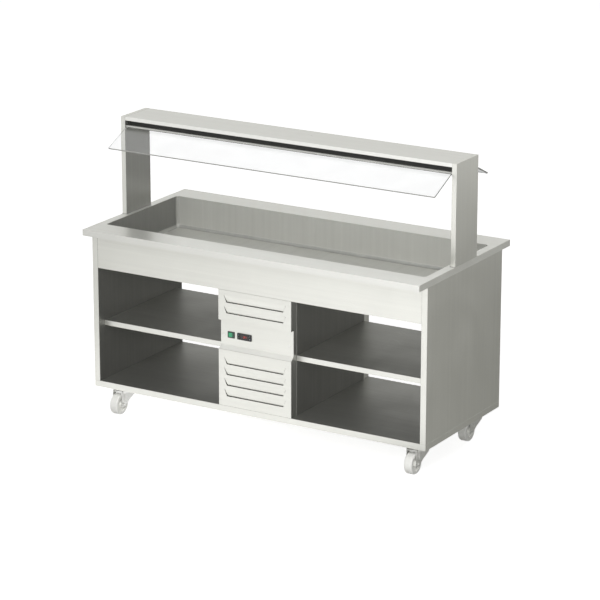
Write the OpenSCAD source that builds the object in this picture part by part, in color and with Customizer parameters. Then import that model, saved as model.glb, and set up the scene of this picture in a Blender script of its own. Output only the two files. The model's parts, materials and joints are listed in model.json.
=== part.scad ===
// Mobile refrigerated salad bar: a cabinet on swivel casters with four open bays,
// a centre unit for the cooling machine, a deep well and a gantry with glass flaps.
// The origin is on the floor under the middle of the cabinet; the front faces -Y.

/* [Cabinet] */
// Overall length, the same for the counter and the cabinet
body_l = 1500; // [1300:10:2000]
// Depth of the cabinet
body_d = 600; // [520:10:760]
// Thickness of the double-skinned side panels
panel_t = 25; // [20:1:35]
// Thickness of all folded sheet
sheet_t = 1.5; // [1:0.1:2]
// Height of the base tray's underside above the floor
base_z = 117; // [112:1:160]
// Height of the base tray's folded edge
base_h = 25; // [20:1:40]
// Width of the lip folded inwards at the foot of every tray
lip_w = 15; // [8:1:18]

/* [Counter and well] */
// Height of the counter's face above the floor
counter_z = 780; // [700:10:940]
// How far the counter stands out over the cabinet's front and back
counter_over = 65; // [35:5:90]
// Height of the counter's folded edge
counter_h = 25; // [20:1:40]
// Length of the well's opening
well_l = 1430; // [1150:10:1430]
// Width of the well's opening
well_w = 510; // [420:5:510]
// Depth of the well below the counter's face
well_depth = 130; // [60:5:150]
// Radius of the well's corners
well_r = 14; // [8:1:30]
// Drop of the apron's lower edge below the counter's face
apron_drop = 169; // [155:1:200]

/* [Shelves] */
// Height of the shelves' upper face above the base tray
shelf_up = 243.5; // [150:0.5:300]
// Height of the shelves' folded edge
shelf_h = 21; // [15:1:30]
// Distance of the shelves' edge behind the cabinet's front
shelf_set_back = 40; // [20:1:80]

/* [Centre unit] */
// Width over the covers of the centre unit
unit_w = 330; // [310:5:420]
// Depth of the folded sides of the covers
return_d = 40; // [30:1:60]
// Height of the upper cover
upper_h = 122; // [90:1:150]
// Height from the upper cover's lower edge to the lower cover
panel_h = 118.5; // [90:0.5:150]
// Distance of the switch and the display below the upper cover
control_drop = 60.3; // [45:0.1:75]
// Distance of the control panel behind the covers' face
panel_in = 18; // [12:1:25]
// Height of the sloping fold under the control panel
slope_h = 15; // [8:1:25]
// Gap between neighbouring covers
cover_gap = 0.5; // [0.3:0.1:1]
// Length of a louvre along its lower lip
louvre_l = 253; // [180:1:262]
// Height of a louvre
louvre_h = 27; // [20:1:32]
// How far a louvre is pressed in at its lower lip
louvre_in = 5; // [3:0.5:8]
// How far a louvre's ends spread towards its fold
louvre_flare = 11; // [5:1:14]
// Width of the slit cut round a louvre
louvre_slit = 1.2; // [0.6:0.1:2]
// Distance between louvres
louvre_pitch = 43.5; // [38:0.5:46]
// Least plain height left above and below a cover's louvres, taken together
louvre_margin = 48; // [40:1:90]
// How far a cover's louvres sit above its middle
louvre_shift = 5; // [0:1:8]

/* [Gantry] */
// Height of the gantry above the counter
gantry_h = 398; // [330:2:460]
// Width of the uprights, and of the canopy between them
gantry_d = 174; // [160:2:220]
// Thickness of the uprights
upright_t = 20; // [18:1:30]
// Height of the canopy's folded edge
canopy_h = 15; // [12:1:25]
// Width of the lamp housing
lamp_w = 110; // [90:2:130]
// Height of the lamp housing below the canopy's edge
lamp_drop = 30; // [26:1:45]
// Radius of the light tube
light_r = 13; // [8:0.5:13]

/* [Glass flaps] */
// Radius of the guard rail
rail_r = 7; // [6:0.5:9]
// Distance of the rail's axis inside the uprights' edge
rail_in = 9; // [9:0.5:14]
// Height of the rail's axis below the gantry's top
rail_drop = 40; // [38:1:60]
// Thickness of the glass
glass_t = 6; // [4:0.5:6]
// Reach of the glass from the rail's axis
glass_reach = 148.5; // [110:0.5:190]
// Slope of the glass below the horizontal
glass_slope = 25; // [10:1:45]
// Radius of the pins on which a rail turns
pin_r = 4; // [3:0.5:4.5]

/* [Casters] */
// Radius of a wheel
wheel_r = 42; // [34:1:44]
// Width of a wheel's tread
wheel_w = 34; // [26:1:36]
// Distance of the wheel's axle from the swivel's axis
trail = 35; // [30:1:46]
// Distance of the swivel axes from the cabinet's ends
caster_in_x = 80; // [75:1:120]
// Distance of the swivel axes from the cabinet's front and back
caster_in_y = 83; // [75:1:120]
// Overall height of a caster
caster_h = 108; // [104:1:110]
// Radius of the axle
axle_r = 4; // [3:0.5:5]

/* [Fits] */
// Radial clearance of a pin that turns in its bore
run_gap = 0.05; // [0.03:0.01:0.1]
// Gap between pieces that move past each other
free_gap = 0.3; // [0.3:0.1:0.6]

/* [Hidden] */
$fn = 64;
cut = 1;

// Levels
base_top = base_z + base_h;
counter_under = counter_z - counter_h;
sheet_under = counter_z - sheet_t;
ceiling_z = counter_z - apron_drop;
shelf_z = base_top + shelf_up;
upper_z = ceiling_z - upper_h;
lower_z = upper_z - panel_h;
well_floor_z = counter_z - well_depth;
gantry_z = counter_z + gantry_h;
canopy_under = gantry_z - canopy_h;
lamp_z = canopy_under - lamp_drop;
rail_z = gantry_z - rail_drop;
rail_y = gantry_d / 2 - rail_in;
bush_r = pin_r + 2;
bush_l = 10;
bush_flange_r = rail_in - sheet_t - free_gap;

// Half sizes in plan
half_l = body_l / 2;
half_d = body_d / 2;
counter_d = body_d + 2 * counter_over;
bay_x = half_l - panel_t;
unit_x = unit_w / 2;
cover_x = unit_x - sheet_t;
seam_y = half_d - return_d;
upright_x = half_l - upright_t;
swivel_x = half_l - caster_in_x;
swivel_y = half_d - caster_in_y;

// Well, its foam and the coil under it
tank_flange_w = (half_l - well_l / 2 - sheet_t) / 2;
tank_flange_d = 15;
tank_flange_z = sheet_under - sheet_t;
casing_rim_h = 20;
coil_r = 5;
fitting_wall = 0.6;
coil_gap = 0.2;
coil_runs = 8;
coil_end_x = well_l / 2 - 60;
coil_side_y = well_w / 2 - 40;
coil_pitch = 2 * coil_side_y / (coil_runs - 1);
coil_z = well_floor_z - sheet_t - coil_gap - coil_r - fitting_wall;
foam_under_coil = coil_z - coil_r - fitting_wall - coil_gap;
line_x = -unit_x + 40;
line_z = ceiling_z - 36;
line_bend = 24;

// Drain
drain = [unit_x - 37, 60];
drain_r = 16;
drain_bore_r = 11.5;
drain_flange_r = 28;
drain_flange_t = 2;
drain_end_z = base_z - 32;
spigot_r = 14;
spigot_l = 28;
strainer_hole_r = 3;
strainer_ring_r = 8;

// Caster
plate_size = [95, 80, 3];
plate_hole_x = 72;
plate_hole_y = 58;
bolt_r = 4;
bolt_hole_r = 4.3;
bolt_head_r = 6.5;
bolt_head_h = 5.3;
race_r = 27;
race_h = 5;
crown_r = 41;
crown_t = 4;
boss_r = 31;
skirt_t = 3;
skirt_h = 10;
king_r = 6;
king_head_r = 10;
king_head_h = 4;
fork_t = 3;
fork_gap = wheel_w / 2 + 2.5;
fork_drop = 2.5;
fork_front = trail + 10;
fork_back = 50;
fork_end_r = 15;
fork_knee = [fork_back - 7, 25];
swage_t = 5;
swage_front = trail - 6;
axle_head_r = 7;
axle_head_h = 4;
hub_r = 13;
web_w = 20;
rim_in_r = wheel_r - 12;
tread_round = 5;
crown_z = caster_h - plate_size[2] - race_h - free_gap;
beam_w = plate_size[0] + 30;
beam_t = 3;

// Control panel
panel_y = half_d - panel_in;
panel_top = upper_z - cover_gap;
slope_z = lower_z + cover_gap + slope_h;
control_z = upper_z - control_drop;
switch_x = -116.7;
switch_w = 31.4;
switch_h = 25.6;
switch_body = [27, 21, 24];
rocker_l = 22;
rocker_h = 17;
rocker_tilt = 8;
rocker_pin_r = 1.5;
rocker_pivot_in = 5;
rocker_space = [24.6, 17.8];
controller_x = -56.5;
controller_w = 64.4;
controller_h = 26;
controller_body = [58, 22, 45];
bezel_t = 3;
window_w = 31;
window_h = 15;
key_x = 25;
key_dz = 5.6;
key_w = 7;
key_h = 4.4;
key_proud = 0.6;
key_floor = 0.5;
key_travel = 0.4;

// Cooling machine
machine_z = base_top + 12;
tray_x = [-unit_x + 22, drain[0] - 32];
tray_y = [-coil_side_y - 33, seam_y - 25];
tray_mid_x = (tray_x[0] + tray_x[1]) / 2;
coil_block_w = tray_x[1] - tray_x[0] - 4;
coil_block_h = lower_z - base_top - 23.5;
coil_block_d = 44;
coil_block_y = tray_y[0] + 4;
fin_count = 22;
fin_inset = 3;
frame_t = 1.5;
condenser_top = machine_z + coil_block_h - fin_inset + frame_t;
fan_r = 84;
fan_y = coil_block_y + coil_block_d + 34;
fan_z = machine_z + coil_block_h / 2;
fan_hub_r = 24;
fan_blades_n = 5;
fan_shaft_r = 4;
motor_r = 32;
motor_l = 52;
shroud_d = 46;
dome_r = 76;
dome_y = tray_y[1] - dome_r - 22;
dome_h = 175;
pipe_r = 4;
pipe_bend = 14;
discharge_stub = [30, -30];
suction_stub = [-25, 25];
stub_h = 6;

steel = [0.80, 0.80, 0.77];
dark_steel = [0.45, 0.45, 0.43];

// ---- Shapes used by several pieces ----

// Box between two opposite corners
module block(low, high)
{
    translate(low)
        cube(high - low);
}

// The same piece again, mirrored across the middle
module left_and_right()
{
    children();
    mirror([1, 0, 0])
        children();
}

// Rectangle with round corners
module round_rect(w, d, r)
{
    square([w - 2 * r, d], center = true);
    square([w, d - 2 * r], center = true);
    for (sx = [-1, 1])
        for (sy = [-1, 1])
            translate([sx * (w / 2 - r), sy * (d / 2 - r)])
                circle(r);
}

// Sheet with its four edges folded down and a narrow lip folded in at the foot
module folded_tray(low, high, lip = lip_w, end_lip = lip_w)
{
    skin = [sheet_t, sheet_t, 0];
    lip_edge = [end_lip, lip, 0];
    difference()
    {
        block(low, high);
        block(low + skin + [0, 0, sheet_t], high - skin - [0, 0, sheet_t]);
        block([low[0], low[1], low[2] - cut] + lip_edge,
            [high[0], high[1], low[2] + 2 * sheet_t] - lip_edge);
    }
}

// Square tube standing on end, closed at the top if wanted
module upright_tube(low, high, closed = false)
{
    skin = [sheet_t, sheet_t, 0];
    difference()
    {
        block(low, high);
        block(low + skin - [0, 0, cut], high - skin + [0, 0, closed ? -sheet_t : cut]);
    }
}

// Cylinder lying along X, centred on the given point
module rod_x(centre, r, l)
{
    translate(centre)
        rotate([0, 90, 0])
            cylinder(h = l, r = r, center = true);
}

// Round tube or rod along a path with square turns, with true bends
function unit(v) = v / norm(v);

module straight(a, b, r)
{
    d = unit(b - a);
    e = [d[1], d[2], d[0]];
    f = cross(d, e);
    multmatrix([[e[0], f[0], d[0], a[0]], [e[1], f[1], d[1], a[1]], [e[2], f[2], d[2], a[2]]])
        cylinder(h = norm(b - a), r = r);
}

module elbow(p, d1, d2, bend, r)
{
    c = p - bend * d1 + bend * d2;
    n = cross(d1, d2);
    multmatrix([[-d2[0], d1[0], n[0], c[0]], [-d2[1], d1[1], n[1], c[1]],
        [-d2[2], d1[2], n[2], c[2]]])
        rotate_extrude(angle = 90)
            translate([bend, 0])
                circle(r);
}

// The bends are soldered fittings, a little wider than the pipe whose end sits in them
module bent_pipe(path, r, bend)
{
    last = len(path) - 1;
    for (i = [0:last - 1])
    {
        d = unit(path[i + 1] - path[i]);
        start = i == 0 ? 0 : bend - 1;
        stop = i == last - 1 ? 0 : bend - 1;
        straight(path[i] + d * start, path[i + 1] - d * stop, r);
    }
    for (i = [1:last - 1])
        elbow(path[i], unit(path[i] - path[i - 1]), unit(path[i + 1] - path[i]), bend,
            r + fitting_wall);
}

// ---- Louvres: cut on three sides and pressed in along the lower lip ----

// Outline of a louvre in the sheet's plane, grown by the slit below and at both ends
module louvre_outline(slit)
{
    lip_x = louvre_l / 2 + slit;
    polygon([[-lip_x, -slit], [lip_x, -slit],
        [lip_x + louvre_flare, louvre_h], [-lip_x - louvre_flare, louvre_h]]);
}

module louvre_window()
{
    translate([0, sheet_t + cut, 0])
        rotate([90, 0, 0])
            linear_extrude(sheet_t + 2 * cut)
                louvre_outline(louvre_slit);
}

// Flap that hangs from the fold along the window's upper edge
module louvre_flap()
{
    translate([0, 0, louvre_h])
        rotate([asin(louvre_in / louvre_h), 0, 0])
            translate([0, sheet_t, -louvre_h])
                rotate([90, 0, 0])
                    linear_extrude(sheet_t)
                        louvre_outline(0);
}

// Heights of the lower lips of the louvres that a cover from z0 to z1 has room for
function louvre_rows(z0, z1) = floor((z1 - z0 - louvre_margin - louvre_h) / louvre_pitch) + 1;
function louvre_first(z0, z1) =
    (z0 + z1 - (louvre_rows(z0, z1) - 1) * louvre_pitch - louvre_h) / 2 + louvre_shift;
function louvre_lips(z0, z1) = [for (i = [0:louvre_rows(z0, z1) - 1])
    louvre_first(z0, z1) + i * louvre_pitch];

// Cover with four folded sides, open at the back, with as many louvres as fit
module louvred_cover(z0, z1)
{
    louvre_zs = louvre_lips(z0, z1);
    difference()
    {
        block([-cover_x, -half_d, z0], [cover_x, -seam_y - cover_gap, z1]);
        block([-cover_x + sheet_t, -half_d + sheet_t, z0 + sheet_t],
            [cover_x - sheet_t, -seam_y + cut, z1 - sheet_t]);
        for (z = louvre_zs)
            translate([0, -half_d, z])
                louvre_window();
    }
    for (z = louvre_zs)
        translate([0, -half_d, z])
            louvre_flap();
}

// ---- Cabinet ----

module base_tray()
{
    color(steel)
        difference()
        {
            folded_tray([-half_l, -half_d, base_z], [half_l, half_d, base_top]);
            translate([drain[0], drain[1], base_z])
                cylinder(h = base_h + cut, r = drain_r + 1);
        }
}

// Hole pattern of a caster's plate
module plate_holes(z0, z1, r)
{
    for (sx = [-1, 1])
        for (sy = [-1, 1])
            translate([sx * plate_hole_x / 2, sy * plate_hole_y / 2, z0])
                cylinder(h = z1 - z0, r = r);
}

module at_casters()
{
    for (sx = [-1, 1])
        for (sy = [-1, 1])
            translate([sx * swivel_x, sy * swivel_y, 0])
                children();
}

// Two channels across the cabinet that carry the casters, with welded pads below
module caster_beams()
{
    beam_y = half_d - lip_w;
    web_top = base_z + beam_t;
    color(dark_steel)
        difference()
        {
            union()
            {
                for (sx = [-1, 1])
                    translate([sx * swivel_x, 0, 0])
                        difference()
                        {
                            block([-beam_w / 2, -beam_y, base_z],
                                [beam_w / 2, beam_y, base_top - sheet_t]);
                            block([-beam_w / 2 + beam_t, -beam_y - cut, web_top],
                                [beam_w / 2 - beam_t, beam_y + cut, base_top + cut]);
                        }
                at_casters()
                    block([-plate_size[0] / 2, -plate_size[1] / 2, caster_h],
                        [plate_size[0] / 2, plate_size[1] / 2, base_z + beam_t / 2]);
            }
            at_casters()
                plate_holes(caster_h - cut, web_top + cut, bolt_hole_r);
        }
}

module side_panel()
{
    upright_tube([bay_x, -half_d, base_top], [half_l, half_d, counter_under]);
}

module side_panel_left()
{
    color(steel)
        mirror([1, 0, 0])
            side_panel();
}

module side_panel_right()
{
    color(steel)
        side_panel();
}

// Single sheet with its edges folded into the centre unit
module partition()
{
    flange = 20;
    difference()
    {
        block([unit_x - flange, -seam_y, base_top], [unit_x, seam_y, ceiling_z]);
        block([unit_x - flange - cut, -seam_y + sheet_t, base_top + sheet_t],
            [unit_x - sheet_t, seam_y - sheet_t, ceiling_z - sheet_t]);
        block([unit_x - flange - cut, -seam_y + flange, base_top - cut],
            [unit_x - flange + cut, seam_y - flange, ceiling_z + cut]);
    }
}

module partition_left()
{
    color(steel)
        mirror([1, 0, 0])
            partition();
}

module partition_right()
{
    color(steel)
        partition();
}

module shelf()
{
    folded_tray([unit_x, -half_d + shelf_set_back, shelf_z - shelf_h],
        [bay_x, half_d - shelf_set_back, shelf_z]);
}

module shelf_left()
{
    color(steel)
        mirror([1, 0, 0])
            shelf();
}

module shelf_right()
{
    color(steel)
        shelf();
}

// Fascia under the counter, with a flange folded back along its upper edge
module apron()
{
    block([-bay_x, -half_d, ceiling_z], [bay_x, -half_d + sheet_t, sheet_under]);
    block([-bay_x, -half_d, sheet_under - sheet_t],
        [bay_x, -half_d + 20, sheet_under]);
}

module apron_front()
{
    color(steel)
        apron();
}

module apron_rear()
{
    color(steel)
        mirror([0, 1, 0])
            apron();
}

// ---- Counter and well ----

module well_outline(grow)
{
    round_rect(well_l + 2 * grow, well_w + 2 * grow, well_r + grow);
}

module counter_top()
{
    color(steel)
        difference()
        {
            folded_tray([-half_l, -counter_d / 2, counter_under],
                [half_l, counter_d / 2, counter_z]);
            translate([0, 0, sheet_under - cut])
                linear_extrude(sheet_t + 2 * cut)
                    well_outline(0);
        }
}

// Space with round corners above and round edges at its foot
module pressed_space(grow, z0, z1)
{
    r = well_r + grow;
    hull()
        for (sx = [-1, 1])
            for (sy = [-1, 1])
                translate([sx * (well_l / 2 - well_r), sy * (well_w / 2 - well_r), 0])
                {
                    translate([0, 0, z0 + r])
                        sphere(r, $fn = 32);
                    translate([0, 0, z0])
                        cylinder(h = r, r = r / 8, $fn = 32);
                    translate([0, 0, z1 - cut])
                        cylinder(h = cut, r = r, $fn = 32);
                }
}

module well_tank()
{
    color(steel)
        difference()
        {
            union()
            {
                pressed_space(sheet_t, well_floor_z - sheet_t, sheet_under);
                translate([0, 0, tank_flange_z])
                    linear_extrude(sheet_t)
                        round_rect(well_l + 2 * tank_flange_w, well_w + 2 * tank_flange_d, well_r);
            }
            pressed_space(0, well_floor_z, sheet_under + cut);
            translate([drain[0], drain[1], well_floor_z - 2 * sheet_t])
                cylinder(h = 3 * sheet_t, r = drain_r + 0.2);
        }
}

module insulation()
{
    foam_x = bay_x - sheet_t;
    foam_y = half_d - 2 * sheet_t;
    color([0.93, 0.88, 0.66])
        difference()
        {
            block([-foam_x, -foam_y, ceiling_z + sheet_t], [foam_x, foam_y, tank_flange_z]);
            block([-well_l / 2 - sheet_t, -well_w / 2 - sheet_t, well_floor_z - sheet_t],
                [well_l / 2 + sheet_t, well_w / 2 + sheet_t, counter_z]);
            block([-coil_end_x - 45, -coil_side_y - 20, foam_under_coil],
                [coil_end_x + 45, coil_side_y + 20, well_floor_z]);
            translate([drain[0], drain[1], ceiling_z])
                cylinder(h = well_depth, r = drain_r + 1);
            for (y = [coil_row(0), coil_row(coil_runs - 1)])
                block([line_x - coil_r - 2, y - coil_r - 2, ceiling_z],
                    [line_x + line_bend, y + coil_r + 2, well_floor_z]);
        }
}

// Pan under the foam: the ceiling of the bays
module well_casing()
{
    color(steel)
        difference()
        {
            block([-bay_x, -half_d + sheet_t, ceiling_z],
                [bay_x, half_d - sheet_t, ceiling_z + casing_rim_h]);
            block([-bay_x + sheet_t, -half_d + 2 * sheet_t, ceiling_z + sheet_t],
                [bay_x - sheet_t, half_d - 2 * sheet_t, ceiling_z + casing_rim_h + cut]);
            translate([drain[0], drain[1], ceiling_z - cut])
                cylinder(h = 3 * sheet_t, r = drain_r + 1);
            for (y = [coil_row(0), coil_row(coil_runs - 1)])
                translate([line_x, y, ceiling_z - cut])
                    cylinder(h = 3 * sheet_t, r = coil_r + 1);
        }
}

// Flat serpentine under the well; both ends turn down to the machine
function coil_row(i) = -coil_side_y + i * coil_pitch;
function coil_side(i, end) = (i + end) % 2 == 0 ? -coil_end_x : coil_end_x;

module evaporator_coil()
{
    last = coil_runs - 1;
    corners = [for (i = [0:last]) for (end = [0, 1])
        if (i + end > 0 && i + end < last + 1)
            [coil_side(i, end), coil_row(i), coil_z]];
    color([0.75, 0.45, 0.25])
        bent_pipe(concat([[line_x, coil_row(0), line_z], [line_x, coil_row(0), coil_z]], corners,
            [[line_x, coil_row(last), coil_z], [line_x, coil_row(last), line_z]]), coil_r, line_bend);
}

// Strainer in the well's floor and a pipe down through the base, ending in a hose spigot
module drain_pipe()
{
    color(steel)
        translate([drain[0], drain[1], 0])
            difference()
            {
                union()
                {
                    translate([0, 0, drain_end_z + spigot_l])
                        cylinder(h = well_floor_z - drain_end_z - spigot_l + drain_flange_t,
                            r = drain_r);
                    translate([0, 0, drain_end_z])
                        cylinder(h = spigot_l + cut, r = spigot_r);
                    translate([0, 0, well_floor_z])
                        cylinder(h = drain_flange_t, r = drain_flange_r);
                }
                translate([0, 0, drain_end_z - cut])
                    cylinder(h = well_floor_z - drain_end_z + cut, r = drain_bore_r);
                translate([0, 0, well_floor_z - cut])
                {
                    cylinder(h = drain_flange_t + 2 * cut, r = strainer_hole_r);
                    for (a = [0:60:300])
                        rotate([0, 0, a])
                            translate([strainer_ring_r, 0, 0])
                                cylinder(h = drain_flange_t + 2 * cut, r = strainer_hole_r);
                }
            }
}

// ---- Gantry ----

module rail_axis(side)
{
    translate([0, side * rail_y, rail_z])
        children();
}

module upright()
{
    difference()
    {
        upright_tube([upright_x, -gantry_d / 2, counter_z], [half_l, gantry_d / 2, gantry_z],
            closed = true);
        for (side = [-1, 1])
            rail_axis(side)
                rod_x([upright_x, 0, 0], bush_r + run_gap, 4 * sheet_t);
    }
}

module upright_left()
{
    color(steel)
        mirror([1, 0, 0])
            upright();
}

module upright_right()
{
    color(steel)
        upright();
}

// Flanged plastic bushes set into the uprights' inner skins
module rail_bushes()
{
    color([0.15, 0.15, 0.15])
        left_and_right()
            for (side = [-1, 1])
                rail_axis(side)
                    difference()
                    {
                        union()
                        {
                            rod_x([upright_x + bush_l / 2, 0, 0], bush_r, bush_l);
                            rod_x([upright_x + sheet_t + 1, 0, 0], bush_flange_r, 2);
                        }
                        rod_x([upright_x + bush_l / 2, 0, 0], pin_r + run_gap, bush_l + cut);
                    }
}

module canopy_shelf()
{
    color(steel)
        folded_tray([-upright_x, -gantry_d / 2, canopy_under], [upright_x, gantry_d / 2, gantry_z],
            lip = 8, end_lip = sheet_t);
}

// Channel under the canopy, open below between two lips, with a holder for the light at each end
module lamp_housing()
{
    end_x = upright_x - sheet_t;
    top_z = gantry_z - sheet_t;
    lip = 14;
    light_x = light_half_l();
    color(steel)
        difference()
        {
            union()
            {
                difference()
                {
                    block([-end_x, -lamp_w / 2, lamp_z], [end_x, lamp_w / 2, top_z]);
                    block([-end_x + sheet_t, -lamp_w / 2 + sheet_t, lamp_z + sheet_t],
                        [end_x - sheet_t, lamp_w / 2 - sheet_t, top_z - sheet_t]);
                    block([-end_x + lip, -lamp_w / 2 + lip, lamp_z - cut],
                        [end_x - lip, lamp_w / 2 - lip, lamp_z + 2 * sheet_t]);
                }
                left_and_right()
                    block([light_x, -12, light_z() - 10], [light_x + 14, 12, top_z - sheet_t]);
            }
            left_and_right()
                for (s = [-1, 1])
                    rod_x([light_x, s * 6.35, light_z()], 1.3, 24);
        }
}

function light_z() = gantry_z - sheet_t - 6 - light_r - 2;
function light_half_l() = upright_x - 100;

module lamp_diffuser()
{
    color([0.95, 0.95, 0.92])
        block([-upright_x + 3 * sheet_t, -lamp_w / 2 + 2 * sheet_t, lamp_z + sheet_t],
            [upright_x - 3 * sheet_t, lamp_w / 2 - 2 * sheet_t, lamp_z + sheet_t + 3]);
}

module light_tube()
{
    l = 2 * light_half_l() - 0.2;
    color([0.96, 0.97, 1])
    {
        rod_x([0, 0, light_z()], light_r, l);
        left_and_right()
            for (s = [-1, 1])
                rod_x([l / 2 + 3, s * 6.35, light_z()], 1.2, 7);
    }
}

// ---- Glass flaps: the front one; the rear one is its mirror image ----

module guard_rail()
{
    l = 2 * (upright_x - 2 * free_gap);
    slot_in = rail_r / 2;
    rail_axis(-1)
        difference()
        {
            union()
            {
                rod_x([0, 0, 0], rail_r, l);
                rod_x([0, 0, 0], pin_r, 2 * (upright_x + bush_l - 1));
            }
            rotate([glass_slope, 0, 0])
                block([-upright_x + 3, -rail_r - cut, -glass_t / 2],
                    [upright_x - 3, -slot_in, glass_t / 2]);
        }
}

module glass()
{
    slot_in = rail_r / 2;
    corner = 4;
    half_w = upright_x - 3;
    rail_axis(-1)
        rotate([glass_slope, 0, 0])
            translate([0, 0, -glass_t / 2])
                linear_extrude(glass_t)
                {
                    translate([-half_w, -glass_reach + corner])
                        square([2 * half_w, glass_reach - corner - slot_in]);
                    translate([-half_w + corner, -glass_reach])
                        square([2 * (half_w - corner), corner + cut]);
                    for (s = [-1, 1])
                        translate([s * (half_w - corner), -glass_reach + corner])
                            circle(corner);
                }
}

module guard_rail_front()
{
    color(steel)
        guard_rail();
}

module glass_front()
{
    color([0.85, 0.92, 0.9, 0.4])
        glass();
}

module guard_rail_rear()
{
    color(steel)
        mirror([0, 1, 0])
            guard_rail();
}

module glass_rear()
{
    color([0.85, 0.92, 0.9, 0.4])
        mirror([0, 1, 0])
            glass();
}

// ---- Centre unit ----

module upper_cover()
{
    color(steel)
        louvred_cover(upper_z, ceiling_z - cover_gap);
}

module lower_cover()
{
    color(steel)
        louvred_cover(base_top + cover_gap, lower_z);
}

module rear_cover()
{
    color(steel)
        mirror([0, 1, 0])
            louvred_cover(base_top + cover_gap, ceiling_z - cover_gap);
}

// Recessed panel whose foot slopes out to meet the lower cover
module control_panel()
{
    foot_z = lower_z + cover_gap;
    foot_y = half_d - 1;
    run = foot_y - panel_y;
    skin = sheet_t * sqrt(run * run + slope_h * slope_h) / slope_h;
    bend_z = slope_z - (skin - sheet_t) * slope_h / run;
    back_y = seam_y + cover_gap;
    color(steel)
        difference()
        {
            translate([-cover_x, 0, 0])
                rotate([90, 0, 90])
                    linear_extrude(2 * cover_x)
                        polygon([[-back_y, foot_z], [-foot_y, foot_z], [-panel_y, slope_z],
                            [-panel_y, panel_top], [-back_y, panel_top]]);
            translate([-cover_x + sheet_t, 0, 0])
                rotate([90, 0, 90])
                    linear_extrude(2 * (cover_x - sheet_t))
                        polygon([[-back_y + cut, foot_z - cut],
                            [-foot_y + skin - cut * run / slope_h, foot_z - cut],
                            [-panel_y + sheet_t, bend_z], [-panel_y + sheet_t, panel_top - sheet_t],
                            [-back_y + cut, panel_top - sheet_t]]);
            block([switch_x - switch_body[0] / 2, -panel_y - cut, control_z - switch_body[1] / 2],
                [switch_x + switch_body[0] / 2, -panel_y + 3, control_z + switch_body[1] / 2]);
            block([controller_x - controller_body[0] / 2, -panel_y - cut,
                    control_z - controller_body[1] / 2],
                [controller_x + controller_body[0] / 2, -panel_y + 3,
                    control_z + controller_body[1] / 2]);
        }
}

// Plate standing against the panel's face, with round corners in the panel's plane
module face_plate(x, w, h, out, r)
{
    translate([x, -panel_y, control_z])
        rotate([90, 0, 0])
            linear_extrude(out)
                round_rect(w, h, r);
}

rocker_y = -panel_y + rocker_pivot_in;

module switch_bezel()
{
    wall = 0.4;
    color([0.06, 0.06, 0.06])
        difference()
        {
            union()
            {
                face_plate(switch_x, switch_w, switch_h, 2, 2);
                block([switch_x - switch_body[0] / 2 + wall / 2, -panel_y - cut,
                        control_z - switch_body[1] / 2 + wall / 2],
                    [switch_x + switch_body[0] / 2 - wall / 2, -panel_y + switch_body[2],
                        control_z + switch_body[1] / 2 - wall / 2]);
            }
            block([switch_x - rocker_space[0] / 2, -panel_y - 3, control_z - rocker_space[1] / 2],
                [switch_x + rocker_space[0] / 2, -panel_y + 14, control_z + rocker_space[1] / 2]);
            translate([switch_x, rocker_y, control_z])
                cylinder(h = switch_body[1] - 1.2, r = rocker_pin_r + run_gap, center = true);
        }
}

// Rocker with a shallow V face, turning on a pin; its right end is pressed in
module switch_rocker()
{
    color([0.1, 0.5, 0.32])
        translate([switch_x, rocker_y, control_z])
            rotate([0, 0, rocker_tilt])
            {
                translate([0, 0, -rocker_h / 2])
                    linear_extrude(rocker_h)
                        polygon([[-rocker_l / 2, -8.6], [0, -7.2], [rocker_l / 2, -8.6],
                            [rocker_l / 2 - 0.6, -2], [5, 5], [-5, 5], [-rocker_l / 2 + 0.6, -2]]);
                cylinder(h = switch_body[1] - 2, r = rocker_pin_r, center = true);
            }
}

module key_places()
{
    for (sx = [-1, 1])
        for (sz = [-1, 1])
            translate([controller_x + sx * key_x, 0, control_z + sz * key_dz])
                children();
}

module controller()
{
    color([0.03, 0.03, 0.03])
        difference()
        {
            union()
            {
                face_plate(controller_x, controller_w, controller_h, bezel_t, 2);
                block([controller_x - controller_body[0] / 2 + 0.2, -panel_y - cut,
                        control_z - controller_body[1] / 2 + 0.2],
                    [controller_x + controller_body[0] / 2 - 0.2, -panel_y + controller_body[2],
                        control_z + controller_body[1] / 2 - 0.2]);
            }
            block([controller_x - window_w / 2, -panel_y - bezel_t - cut,
                    control_z - window_h / 2],
                [controller_x + window_w / 2, -panel_y - bezel_t + 1.2, control_z + window_h / 2]);
            key_places()
                block([-key_w / 2 - free_gap, -panel_y - bezel_t - cut, -key_h / 2 - free_gap],
                    [key_w / 2 + free_gap, -panel_y - key_floor, key_h / 2 + free_gap]);
        }
}

module controller_display()
{
    color([0.25, 0.02, 0.02])
        block([controller_x - window_w / 2, -panel_y - bezel_t + 0.2, control_z - window_h / 2],
            [controller_x + window_w / 2, -panel_y - bezel_t + 1.2, control_z + window_h / 2]);
}

// Key standing just proud of the controller's face, with room to be pressed
module key(sx, sz)
{
    color([0.12, 0.12, 0.12])
        translate([controller_x + sx * key_x, 0, control_z + sz * key_dz])
            block([-key_w / 2, -panel_y - bezel_t - key_proud, -key_h / 2],
                [key_w / 2, -panel_y - key_floor - key_travel - free_gap, key_h / 2]);
}

module key_up()
{
    key(1, 1);
}

module key_down()
{
    key(1, -1);
}

module key_set()
{
    key(-1, 1);
}

module key_power()
{
    key(-1, -1);
}

// ---- Cooling machine ----

module unit_tray()
{
    color(dark_steel)
        folded_tray([tray_x[0], tray_y[0], base_top], [tray_x[1], tray_y[1], machine_z],
            lip = 8, end_lip = 8);
}

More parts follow.
